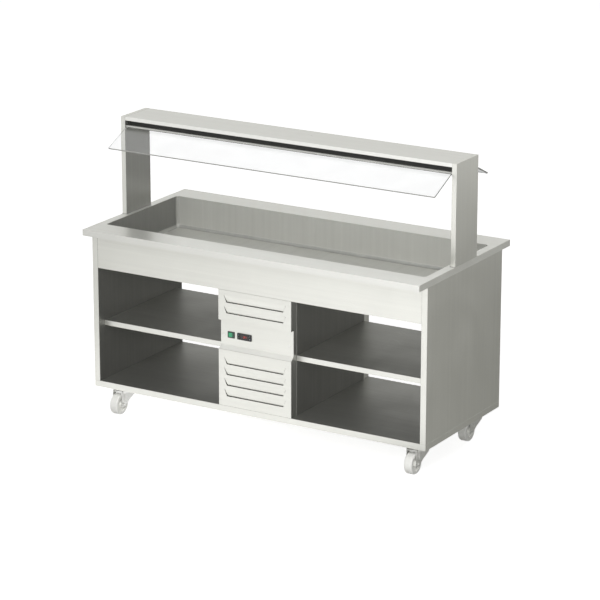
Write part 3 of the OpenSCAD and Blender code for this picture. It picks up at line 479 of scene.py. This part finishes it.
steel = {
    "long": makeSteel("steelLong", **alongX),
    "tall": makeSteel("steelTall", **alongZ),
    "top": makeSteel("steelTop", **alongX, dark=(0.66, 0.66, 0.63), pale=(0.80, 0.80, 0.765)),
    # painted highlight: a paler copy of the steel for faces that should look lit
    "bright": makeSteel("steelBright", **alongX,
                        dark=(0.78, 0.78, 0.745), pale=(0.88, 0.88, 0.845)),
    # painted shade: a darker copy of the steel for inner faces and flanks that turn away from
    # the lamps
    "inner": makeSteel("steelInner", **alongZ, metallic=0.7,
                       dark=(0.27, 0.27, 0.255), pale=(0.36, 0.36, 0.34)),
    # painted shade: a darker copy of the steel for the outer ends, as if the lamps reached them
    # less
    "outer": makeSteel("steelOuter", **alongZ,
                       dark=(0.55, 0.55, 0.515), pale=(0.66, 0.66, 0.62)),
    # painted shade: a dark copy of the steel for the well's end wall that looks to the right
    "wellEnd": makeSteel("steelWellEnd", **wellEnd, **wellRough,
                         dark=(0.20, 0.20, 0.19), pale=(0.30, 0.30, 0.285)),
    # painted shade: dark copies of the steel for the walls, shelves and floors inside the bays,
    # where shade falls
    "paintedShadeBayTall": makeSteel("steelBayTall", **alongZ, **bayShade,
                         dark=(0.17, 0.17, 0.158), pale=(0.25, 0.25, 0.233)),
    "paintedShadeBayLong": makeSteel("steelBayLong", **alongX, **bayShade,
                         dark=(0.23, 0.23, 0.214), pale=(0.33, 0.33, 0.308)),
    # a duller 2B finish for the well, darker also as painted shade of its walls
    "well": makeSteel("steelWell", **wellWall, **wellRough,
                      dark=(0.47, 0.47, 0.44), pale=(0.61, 0.61, 0.575)),
    # painted shade on the well's rounded corners, darkening the highlight they would catch
    "wellCovePaintedShade": makeSteel("steelWellCove", **wellWall, roughLow=0.5, roughHigh=0.7,
                          dark=(0.30, 0.30, 0.282), pale=(0.40, 0.40, 0.377)),
    "round": makeSteel("steelRound", **alongX, roughLow=0.16, roughHigh=0.3,
                       dark=(0.42, 0.42, 0.40), pale=(0.54, 0.54, 0.515)),
    # painted shade: near black steel for the lamp housing, which stands for the shaded gap under
    # the canopy
    "housing": makeSteel("steelHousing", **alongX, metallic=0.3, roughLow=0.4, roughHigh=0.6,
                         dark=(0.035, 0.035, 0.034), pale=(0.06, 0.06, 0.058)),
}

# the other finishes: dark and pale colour, lowest and highest roughness
looks = {
    "zinc": ((0.60, 0.60, 0.585), (0.82, 0.82, 0.80), 0.22, 0.46),
    "nylon": ((0.86, 0.855, 0.815), (0.97, 0.97, 0.935), 0.32, 0.6),
    "foam": ((0.60, 0.50, 0.26), (0.86, 0.78, 0.50), 0.8, 0.98),
    "copper": ((0.30, 0.13, 0.07), (0.78, 0.40, 0.24), 0.25, 0.6),
    "fins": ((0.50, 0.50, 0.51), (0.74, 0.74, 0.75), 0.3, 0.55),
    "glass": ((0.85, 0.855, 0.857), (0.895, 0.90, 0.902), 0.0, 0.045),
    "enamel": ((0.012, 0.012, 0.013), (0.16, 0.155, 0.15), 0.18, 0.6),
    "blackPlastic": ((0.012, 0.012, 0.012), (0.035, 0.035, 0.035), 0.32, 0.5),
    "milkyAcrylic": ((0.80, 0.80, 0.77), (0.92, 0.92, 0.90), 0.25, 0.45),
    "groundGlassEdge": ((0.34, 0.34, 0.325), (0.46, 0.46, 0.44), 0.45, 0.7),
    "greySealant": ((0.30, 0.30, 0.29), (0.42, 0.42, 0.41), 0.35, 0.55),
    "redWindow": ((0.010, 0.002, 0.002), (0.03, 0.006, 0.006), 0.06, 0.14),
}


def makeZinc():
    dark, pale, low, high = looks["zinc"]
    finish = Finish("zincPlate", 0.8)
    spangle = addNode(finish.tree, "ShaderNodeTexVoronoi", {"Scale": 140, "Randomness": 1})
    split = addNode(finish.tree, "ShaderNodeSeparateXYZ")
    join(finish.tree, (finish.place, spangle.inputs["Vector"]),
         (spangle.outputs["Color"], split.inputs[0]))
    dust = finish.use("dust", {"Size": 60})["Dust"]
    cloud = finish.noise(45, 4)
    finish.color(dark, pale, finish.blend((split.outputs["X"], 0.35), (cloud, 0.6), (dust, 0.2)))
    finish.rough(low, high, finish.blend((cloud, 0.7), (split.outputs["Y"], 0.3)))
    finish.bump(finish.noise(900, 2), 0.15, 0.0001)
    return finish.material


def makeNylon():
    dark, pale, low, high = looks["nylon"]
    finish = Finish("paleNylon")
    scuff = finish.noise(160, 5, 0.7)
    soil = finish.noise(38, 3)
    finish.color(dark, pale, finish.blend((scuff, 0.5), (soil, 1.1)))
    finish.rough(low, high, scuff)
    finish.bump(scuff, 0.3, 0.0003)
    return finish.material


def makeFoam():
    dark, pale, low, high = looks["foam"]
    finish = Finish("yellowFoam")
    cells = addNode(finish.tree, "ShaderNodeTexVoronoi", {"Scale": 420})
    join(finish.tree, (finish.place, cells.inputs["Vector"]))
    depth = cells.outputs["Distance"]
    finish.color(dark, pale, finish.blend((depth, 0.7), (finish.noise(12), 0.5)))
    finish.rough(low, high, depth)
    finish.bump(depth, 0.6, 0.001)
    return finish.material


def makeCopper():
    dark, pale, low, high = looks["copper"]
    finish = Finish("dullCopper", 0.95)
    stain = finish.noise(60, 5, 0.65)
    finish.color(dark, pale, finish.blend((stain, 1.3)))
    finish.rough(low, high, stain)
    finish.bump(finish.noise(700, 2), 0.12, 0.0001)
    return finish.material


def makeFins():
    dark, pale, low, high = looks["fins"]
    finish = Finish("bareAluminium", 0.85)
    grain = finish.use("grain", {"Lines": (900, 900, 12), "Bands": (60, 60, 3)})
    dust = finish.use("dust", {"Size": 80})["Dust"]
    finish.color(dark, pale, finish.blend((grain["Band"], 1), (dust, -0.3)))
    finish.rough(low, high, grain["Line"])
    finish.bump(grain["Line"], 0.2, 0.0001)
    return finish.material


def makeGlass():
    dark, pale, low, high = looks["glass"]
    finish = Finish("clearGlass", 0, Transmission_Weight=1.0, IOR=1.5)
    smear = finish.use("smear", {"Size": 9})["Smear"]
    streak = finish.use("scratch", {"Spread": (3, 30, 30), "Width": 0.006})["Scratch"]
    finish.color(dark, pale, smear)
    finish.rough(low, high, finish.blend((smear, 0.6), (streak, 0.6)))
    finish.bump(smear, 0.02, 0.0002)
    # lamps shine through the pane instead of casting a solid shadow
    path = addNode(finish.tree, "ShaderNodeLightPath")
    clear = addNode(finish.tree, "ShaderNodeBsdfTransparent", {"Color": (0.93, 0.95, 0.94, 1)})
    mix = addNode(finish.tree, "ShaderNodeMixShader")
    join(finish.tree, (path.outputs["Is Shadow Ray"], mix.inputs[0]),
         (finish.paint.outputs[0], mix.inputs[1]),
         (clear.outputs[0], mix.inputs[2]),
         (mix.outputs[0], finish.tree.nodes["Material Output"].inputs["Surface"]))
    return finish.material


def makePlastic(name, **values):
    dark, pale, low, high = looks[name]
    finish = Finish(name, 0, **values)
    pebble = finish.noise(1400, 2)
    smear = finish.use("smear", {"Size": 30})["Smear"]
    scratch = finish.use("scratch", {"Spread": (60, 60, 200), "Width": 0.02})["Scratch"]
    finish.color(dark, pale, finish.blend((pebble, 0.5), (smear, 0.3), (scratch, 0.5)))
    finish.rough(low, high, finish.blend((pebble, 0.4), (smear, 0.6)))
    finish.bump(pebble, 0.12, 0.0001)
    return finish.material


def makeEnamel():
    dark, pale, low, high = looks["enamel"]
    finish = Finish("blackEnamel", 0, Coat_Weight=0.6, Coat_Roughness=0.12)
    peel = finish.noise(260, 2)
    dust = finish.use("dust", {"Size": 70})["Dust"]
    finish.color(dark, pale, finish.blend((dust, 0.7), (peel, 0.08)))
    finish.rough(low, high, finish.blend((peel, 0.3), (dust, 0.9)))
    finish.bump(peel, 0.15, 0.0004)
    return finish.material


# painted light and painted shade on the rocker: its colours and glow change along X
lens = {
    "dark": (0.004, 0.05, 0.028),
    "pale": (0.03, 0.30, 0.135),
    "shadeEndGlow": (0.002, 0.03, 0.015),
    "paintedLightGlow": (0.02, 0.32, 0.15),
    "glow": 0.25,
    "paintedLightFrom": -0.1108,  # X between which the rocker goes from painted shade to painted light
    "paintedLightTo": -0.1132,
    "ribs": 320,
}


def makeLens():
    # painted light: the end of the rocker that faces the lamps is painted lighter and given a
    # glow, and the end that is pressed in is painted dark as shade
    finish = Finish("greenLens", 0, Coat_Weight=0.5, Emission_Strength=lens["glow"])
    split = addNode(finish.tree, "ShaderNodeSeparateXYZ")
    lit = addNode(finish.tree, "ShaderNodeMapRange",
                  {"From Min": lens["paintedLightFrom"], "From Max": lens["paintedLightTo"]}, clamp=True)
    rib = addNode(finish.tree, "ShaderNodeTexWave", {"Scale": lens["ribs"], "Distortion": 0.4})
    join(finish.tree, (finish.place, split.inputs[0]),
         (split.outputs["X"], lit.inputs["Value"]),
         (finish.place, rib.inputs["Vector"]))
    amount = finish.blend((lit.outputs[0], 0.85), (rib.outputs["Fac"], 0.15))
    finish.color(lens["dark"], lens["pale"], amount)
    finish.shine(lens["shadeEndGlow"], lens["paintedLightGlow"], amount)
    finish.rough(0.12, 0.3, rib.outputs["Fac"])
    return finish.material


def makeGlow(name, color, strength):
    finish = Finish(name, 0, Emission_Strength=strength)
    cloud = finish.noise(500, 1)
    finish.color(tuple(part * 0.4 for part in color), color, cloud)
    finish.shine(tuple(part * 0.7 for part in color), color, cloud)
    finish.rough(0.2, 0.4, cloud)
    return finish.material


zinc = makeZinc()
nylon = makeNylon()
foam = makeFoam()
copper = makeCopper()
fins = makeFins()
glass = makeGlass()
blackPlastic = makePlastic("blackPlastic")
milky = makePlastic("milkyAcrylic", Subsurface_Weight=0.3, Subsurface_Scale=0.01)
greenLens = makeLens()
groundEdge = makePlastic("groundGlassEdge")
sealant = makePlastic("greySealant")
redWindow = makePlastic("redWindow", Coat_Weight=0.5)
enamel = makeEnamel()
digitGlow = makeGlow("digitGlow", (0.75, 0.06, 0.04), 0.5)
print("finishes made")


# every node gets its finish

corners = ("front_left", "front_right", "rear_left", "rear_right")
finishOf = {
    steel["long"]: ["base_tray", "apron_front", "apron_rear", "rear_cover", "well_casing",
                    "upper_cover", "lower_cover", "control_panel"],
    steel["top"]: ["counter_top", "canopy_shelf"],
    steel["tall"]: ["side_panel_left", "side_panel_right", "upright_left", "upright_right"],
    # painted shade: partitions and shelves inside the bays get dark copies of the steel
    steel["paintedShadeBayTall"]: ["partition_left", "partition_right"],
    steel["paintedShadeBayLong"]: ["shelf_left", "shelf_right"],
    # painted shade: the lamp housing is near black to stand for the shaded gap under the canopy
    steel["housing"]: ["lamp_housing"],
    steel["well"]: ["well_tank"],
    steel["round"]: ["guard_rail_front", "guard_rail_rear", "drain_pipe"],
    zinc: ["caster_beams", "caster_plates", "caster_bolts", "unit_tray", "fan_shroud",
           "fan_motor"] + [part + corner for corner in corners for part in ("fork_", "axle_")],
    nylon: ["wheel_" + corner for corner in corners],
    foam: ["insulation"],
    copper: ["evaporator_coil", "refrigerant_pipes"],
    fins: ["condenser"],
    glass: ["glass_front", "glass_rear"],
    milky: ["lamp_diffuser", "light_tube"],
    blackPlastic: ["rail_bushes", "switch_bezel", "controller", "fan_blades",
                   "key_up", "key_down", "key_set", "key_power"],
    redWindow: ["controller_display"],
    greenLens: ["switch_rocker"],
    enamel: ["compressor"],
}
for material, names in finishOf.items():
    for name in names:
        nodes[name].data.materials.clear()
        nodes[name].data.materials.append(material)


def paintFaces(name, material, test):
    # a further finish on the faces of a node that pass the test; each one used here is a lighter
    # or darker copy of the steel, as painted light or painted shade
    mesh = nodes[name].data
    mesh.materials.append(material)
    for face in mesh.polygons:
        if test(face.normal, face.center):
            face.material_index = len(mesh.materials) - 1


def facesEnd(normal, middle):
    # the well's end wall that looks to the right
    return normal.x > 0.7


def facesCurved(normal, middle):
    # faces that look along no single axis
    return sorted(abs(part) for part in normal)[1] > 0.2


def facesFlank(normal, middle):
    # flanks of the covers
    return abs(normal.x) > 0.9 and abs(middle.x) > 0.15


def facesLedge(normal, middle):
    # sloping ledge at the foot of the control panel
    return 0.5 < normal.z < 0.9 and middle.z < 0.4


# painted shade on the well's end wall, its rounded corners and the covers' flanks
paintFaces("well_tank", steel["wellEnd"], facesEnd)
paintFaces("well_tank", steel["wellCovePaintedShade"], facesCurved)
for name in ("upper_cover", "control_panel", "lower_cover"):
    paintFaces(name, steel["inner"], facesFlank)
# painted highlight on the control panel's sloping ledge
paintFaces("control_panel", steel["bright"], facesLedge)
print("nodes painted")


# helpers for the modelled pieces

slotOf = {row["node"]: row["material_slot"] for row in frame["record"]["subparts"]}


def bodyOf(node):
    return nodes[node].parent.name.split(":", 1)[1]


def pick(*pieces):
    bpy.ops.object.select_all(action="DESELECT")
    for piece in pieces:
        piece.select_set(True)
    bpy.context.view_layer.objects.active = pieces[-1]


def edit(*steps):
    # runs edit-mode steps on the active piece with everything selected
    bpy.ops.object.mode_set(mode="EDIT")
    bpy.ops.mesh.select_all(action="SELECT")
    for step in steps:
        step()
    bpy.ops.object.mode_set(mode="OBJECT")


def applyModifier(piece, kind, **settings):
    pick(piece)
    modifier = piece.modifiers.new(kind.lower(), kind)
    for key, value in settings.items():
        setattr(modifier, key, value)
    bpy.ops.object.modifier_apply(modifier=modifier.name)


def bevelEdges(piece, width, segments, corner):
    # corner is the angle in degrees from which an edge is bevelled
    applyModifier(piece, "BEVEL", width=width, segments=segments, limit_method="ANGLE",
                  angle_limit=math.radians(corner))


def smoothBelow(piece, angle):
    pick(piece)
    bpy.ops.object.shade_smooth_by_angle(angle=math.radians(angle))


def finishPiece(piece, name, materials, body, slot, *replaced):
    pick(piece)
    bpy.ops.object.transform_apply(location=True, rotation=True, scale=True)
    piece.name = name
    piece.data.name = name
    piece.data.materials.clear()
    for material in materials:
        piece.data.materials.append(material)
    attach(piece, body)
    if replaced:
        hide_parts(*replaced)


merge = {
    "reach": 1e-6,  # corners closer than this are one
    "flat": 0.4,  # faces that differ by fewer degrees become one
}


def copyNode(name):
    # whole copy of a CAD node with its flat faces joined up again
    pick(nodes[name])
    bpy.ops.object.duplicate()
    piece = bpy.context.object
    bpy.ops.object.parent_clear(type="CLEAR_KEEP_TRANSFORM")
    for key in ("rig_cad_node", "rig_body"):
        if key in piece:
            del piece[key]
    edit(lambda: bpy.ops.mesh.remove_doubles(threshold=merge["reach"]),
         lambda: bpy.ops.mesh.dissolve_limited(angle_limit=math.radians(merge["flat"])),
         lambda: bpy.ops.mesh.normals_make_consistent(inside=False))
    return piece


def setFinish(piece, test, number):
    # another finish on the faces that the test picks by normal and middle
    for face in piece.data.polygons:
        if test(face.normal, face.center):
            face.material_index = number


# folded sheets get the small radius that a press brake leaves

fold = {
    "radius": 0.0011,
    "segments": 2,
    "corner": 40,
    "smoothBelow": 50,
}


def facesFront(normal, middle):
    return normal.y < -0.6


def facesUp(normal, middle):
    return normal.z > 0.6


def facesIn(normal, middle):
    # faces that look to the middle of the counter
    return middle.x * normal.x < -0.1


def facesOut(normal, middle):
    # faces that look out over the ends of the counter
    return middle.x * normal.x > 0.1


def softEdges(name, *shadeAndLightFinishes):
    # bevelled copy of a sheet; the further finishes, each with the test for its faces, are
    # lighter and darker copies of the steel, as painted light and painted shade
    piece = copyNode(name)
    finishes = [piece.data.materials[0]] + [finish for finish, test in shadeAndLightFinishes]
    bevelEdges(piece, fold["radius"], fold["segments"], fold["corner"])
    smoothBelow(piece, fold["smoothBelow"])
    applyModifier(piece, "WEIGHTED_NORMAL", keep_sharp=True, weight=100)
    finishPiece(piece, name + "_sheet", finishes, bodyOf(name), slotOf[name], name)
    for number, (finish, test) in enumerate(shadeAndLightFinishes, 1):
        setFinish(piece, test, number)


for name in ("apron_front", "apron_rear", "lamp_housing"):
    softEdges(name)
# painted shade on the inner faces and outer ends of the uprights and side panels and on the
# partitions' fronts; the bay shelves are painted shade but for their fronts
for name in ("upright_left", "upright_right"):
    softEdges(name, (steel["inner"], facesIn), (steel["outer"], facesOut))
for name in ("side_panel_left", "side_panel_right"):
    softEdges(name, (steel["paintedShadeBayTall"], facesIn), (steel["outer"], facesOut))
for name in ("partition_left", "partition_right"):
    softEdges(name, (steel["inner"], facesFront))
for name in ("shelf_left", "shelf_right"):
    softEdges(name, (steel["long"], facesFront))
# painted highlight on the canopy shelf's front
softEdges("canopy_shelf", (steel["bright"], facesFront))
# painted shade on the base tray's bay floors and outer ends
softEdges("base_tray", (steel["paintedShadeBayLong"], facesUp), (steel["outer"], facesOut))
print("sheets folded")


# glass panes with ground edges

pane = {
    "chamfer": 0.0012,
    "corner": 40,
    "edgeNormal": 0.90,  # faces turned further than this from the pane's own plane are its edges
}


def makePane(name):
    piece = copyNode(name)
    bevelEdges(piece, pane["chamfer"], 1, pane["corner"])
    pick(piece)
    bpy.ops.object.shade_flat()
    large = max(piece.data.polygons, key=lambda face: face.area).normal.copy()
    finishPiece(piece, name + "_pane", [glass, groundEdge], bodyOf(name), "glass", name)
    setFinish(piece, lambda normal, middle: abs(normal.dot(large)) < pane["edgeNormal"], 1)


makePane("glass_front")
makePane("glass_rear")
print("panes ground")


# small pieces: one is modelled, the others are copies of its mesh

def addCylinder(radius, depth, place, corners=24, turn=(0, 0, 0)):
    bpy.ops.object.select_all(action="DESELECT")
    bpy.ops.mesh.primitive_cylinder_add(vertices=corners, radius=radius, depth=depth,
                                        location=place, rotation=turn)
    return bpy.context.object


def addBlock(size, place):
    bpy.ops.object.select_all(action="DESELECT")
    bpy.ops.mesh.primitive_cube_add(size=1, location=place)
    block = bpy.context.object
    block.scale = size
    bpy.ops.object.transform_apply(location=False, rotation=False, scale=True)
    return block


def selectFaces(piece, test):
    # leaves edit mode open with only the faces that the test picks
    pick(piece)
    bpy.ops.object.mode_set(mode="EDIT")
    bpy.ops.mesh.select_mode(type="FACE")
    bpy.ops.mesh.select_all(action="DESELECT")
    bpy.ops.object.mode_set(mode="OBJECT")
    for face in piece.data.polygons:
        face.select = test(face.normal, face.center)
    bpy.ops.object.mode_set(mode="EDIT")


def copiesOf(piece, places):
    # copies with their own meshes, moved from the first place to each of the others
    made = [piece]
    for place in places[1:]:
        pick(piece)
        bpy.ops.object.duplicate()
        twin = bpy.context.object
        twin.location = piece.location + Vector(place) - Vector(places[0])
        made.append(twin)
    return made


def joinPieces(pieces):
    pick(*pieces)
    bpy.ops.object.join()
    return bpy.context.object


quarterTurn = math.radians(90)

# domed screws with a round socket hold the control panel and the rear cover
screw = {
    "head": 0.0042,
    "height": 0.0022,
    "dome": 0.0011,
    "domeSegments": 3,
    "domeCorner": 60,
    "socket": 0.0016,
    "socketTaper": 0.0001,
    "depth": 0.0012,
    "smoothBelow": 30,
    "panelFace": -0.2820,
    "panelPlaces": [(-0.1486, 0.425), (0.1445, 0.425)],
    "rearFace": 0.3000,
    "rearPlaces": [(x, z) for x in (-0.157, 0.157) for z in (0.158, 0.376, 0.596)],
}


def makeScrews(name, face, outward, places):
    spots = [(x, face + outward * screw["height"] / 2, z) for x, z in places]
    head = addCylinder(screw["head"], screw["height"], spots[0], turn=(quarterTurn, 0, 0))
    bpy.ops.object.transform_apply(location=False, rotation=True, scale=False)
    bevelEdges(head, screw["dome"], screw["domeSegments"], screw["domeCorner"])
    selectFaces(head, lambda normal, middle: normal.y * outward > 0.99)
    bpy.ops.mesh.inset(thickness=screw["head"] - screw["dome"] - screw["socket"], depth=0)
    bpy.ops.mesh.inset(thickness=screw["socketTaper"], depth=-screw["depth"])
    bpy.ops.object.mode_set(mode="OBJECT")
    smoothBelow(head, screw["smoothBelow"])
    finishPiece(joinPieces(copiesOf(head, spots)), name, [zinc], "cabinet", "zinc_steel")


makeScrews("panelScrews", screw["panelFace"], -1, screw["panelPlaces"])
makeScrews("rearScrews", screw["rearFace"], 1, screw["rearPlaces"])
print("screws set")


# figures on the controller's window: three digits of seven bars
figures = {
    "face": -0.28495,
    "left": -0.0588,
    "pitch": 0.0052,
    "height": 0.0076,
    "width": 0.0036,
    "bar": 0.0008,
    "thick": 0.00008,
    "overlap": 0.8,  # how far the bars' ends keep out of the corners, in bar widths
    "bevel": 0.42,  # in bar widths
    "bevelCorner": 60,
    "middle": 0.4287,
    "shown": ("abged", "abcdefg", "bc"),
}


def makeFigures():
    half, side = figures["height"] / 2, figures["width"] / 2
    wide = figures["bar"]
    # letter: across, up, upright or not
    bars = {
        "a": (0, half, False), "g": (0, 0, False), "d": (0, -half, False),
        "f": (-side, half / 2, True), "b": (side, half / 2, True),
        "e": (-side, -half / 2, True), "c": (side, -half / 2, True),
    }
    pieces = []
    for place, letters in enumerate(figures["shown"]):
        for letter in letters:
            x, z, upright = bars[letter]
            length = (half if upright else figures["width"]) - wide * figures["overlap"]
            across, tall = (wide, length) if upright else (length, wide)
            bar = addBlock((across, figures["thick"], tall),
                           (figures["left"] + place * figures["pitch"] + x, figures["face"],
                            figures["middle"] + z))
            bevelEdges(bar, wide * figures["bevel"], 1, figures["bevelCorner"])
            pieces.append(bar)
    finishPiece(joinPieces(pieces), "displayFigures", [digitGlow], "cabinet", "red_lens")


makeFigures()
print("figures lit")


# signs moulded on the controller's keys
signs = {
    "face": -0.2856,
    "height": 0.0002,
    "radius": 0.0013,
    "rim": 0.25,  # of the radius
    "sink": 0.4,  # of the height
    "middleX": -0.0565,
    "middleZ": 0.4287,
    "outX": 0.025,
    "outZ": 0.0056,
    # key that the sign rides on: side, row, corners, turn; the sides are exchanged, because
    # key_up and key_down are the right pair, so each sign stands on the key opposite its own
    "keys": {
        "key_up": (-1, 1, 3, 0),
        "key_down": (-1, -1, 3, 180),
        "key_set": (1, 1, 6, 0),
        "key_power": (1, -1, 16, 0),
    },
}


def makeSigns():
    radius, height = signs["radius"], signs["height"]
    for key, (side, row, points, turn) in signs["keys"].items():
        spot = (signs["middleX"] + side * signs["outX"], signs["face"] - height / 2,
                signs["middleZ"] + row * signs["outZ"])
        sign = addCylinder(radius, height, spot, points, (quarterTurn, math.radians(turn), 0))
        bpy.ops.object.transform_apply(location=False, rotation=True, scale=False)
        selectFaces(sign, lambda normal, middle: normal.y < -0.9)
        bpy.ops.mesh.inset(thickness=radius * signs["rim"], depth=-height * signs["sink"])
        bpy.ops.object.mode_set(mode="OBJECT")
        finishPiece(sign, key + "_sign", [milky], bodyOf(key), "diffuser")


makeSigns()
print("signs moulded")


# wire guard behind the fan: rings on four spokes, feet on the shroud
guard = {
    "middle": (-0.0235, 0.2565),
    "level": -0.1492,
    "wire": 0.0011,
    "wireCorners": 8,
    "wireBevel": 0.5,  # of the wire's radius
    "rings": (0.042, 0.056, 0.070, 0.084),
    "ringSteps": 48,
    "spokes": 4,
    "reach": 0.0895,
    "footRadius": 0.0045,
    "footLength": 0.0040,
    "footCorners": 16,
    "footBevel": 0.0006,
    "bevelCorner": 60,
    "smoothBelow": 50,
}


def makeGuard():
    x, z = guard["middle"]
    level, wire = guard["level"], guard["wire"]
    pieces = []
    for radius in guard["rings"]:
        bpy.ops.object.select_all(action="DESELECT")
        bpy.ops.mesh.primitive_torus_add(
            location=(x, level, z), rotation=(quarterTurn, 0, 0),
            major_radius=radius, minor_radius=wire,
            major_segments=guard["ringSteps"], minor_segments=guard["wireCorners"])
        pieces.append(bpy.context.object)
    start, end = guard["rings"][0], guard["reach"]
    half = (start + end) / 2
    for number in range(guard["spokes"]):
        angle = math.radians(45 + 360 / guard["spokes"] * number)
        across, up = math.cos(angle), math.sin(angle)
        spoke = addCylinder(wire, end - start, (x + across * half, level, z + up * half),
                            guard["wireCorners"], (0, quarterTurn - angle, 0))
        bevelEdges(spoke, wire * guard["wireBevel"], 1, guard["bevelCorner"])
        foot = addCylinder(guard["footRadius"], guard["footLength"],
                           (x + across * end, level - guard["footLength"] / 2, z + up * end),
                           guard["footCorners"], (quarterTurn, 0, 0))
        bevelEdges(foot, guard["footBevel"], 2, guard["bevelCorner"])
        pieces += [spoke, foot]
    rings = joinPieces(pieces)
    smoothBelow(rings, guard["smoothBelow"])
    finishPiece(rings, "fanGuard", [enamel], "cabinet", "black_enamel")


makeGuard()
print("guard wired")


# sealing bead where each upright stands on the counter
bead = {
    "inner": (0.0100, 0.0870),
    "width": 0.0022,
    "height": 0.0016,
    "slope": 0.0003,
    "bevel": 0.0006,
    "bevelCorner": 60,
    "smoothBelow": 40,
    "middle": 0.740,
    "end": 0.7500,
    "level": 0.7800,
}


def makeBead(name, side):
    wide, deep = (half + bead["width"] for half in bead["inner"])
    ring = addBlock((2 * wide, 2 * deep, bead["height"]),
                    (side * bead["middle"], 0, bead["level"] + bead["height"] / 2))
    selectFaces(ring, lambda normal, middle: abs(normal.z) > 0.9)
    bpy.ops.mesh.inset(thickness=bead["width"] - bead["slope"], depth=0)
    bpy.ops.mesh.bridge_edge_loops()
    # the upright is flush with the end of the counter, so there is no bead on that side
    bpy.ops.mesh.select_all(action="SELECT")
    bpy.ops.mesh.bisect(plane_co=(side * bead["end"], 0, 0), plane_no=(side, 0, 0),
                        use_fill=True, clear_outer=True)
    bpy.ops.object.mode_set(mode="OBJECT")
    bevelEdges(ring, bead["bevel"], 2, bead["bevelCorner"])
    smoothBelow(ring, bead["smoothBelow"])
    finishPiece(ring, name, [sealant], "cabinet", "black_plastic")


makeBead("sealingBeadLeft", -1)
makeBead("sealingBeadRight", 1)
print("beads laid")
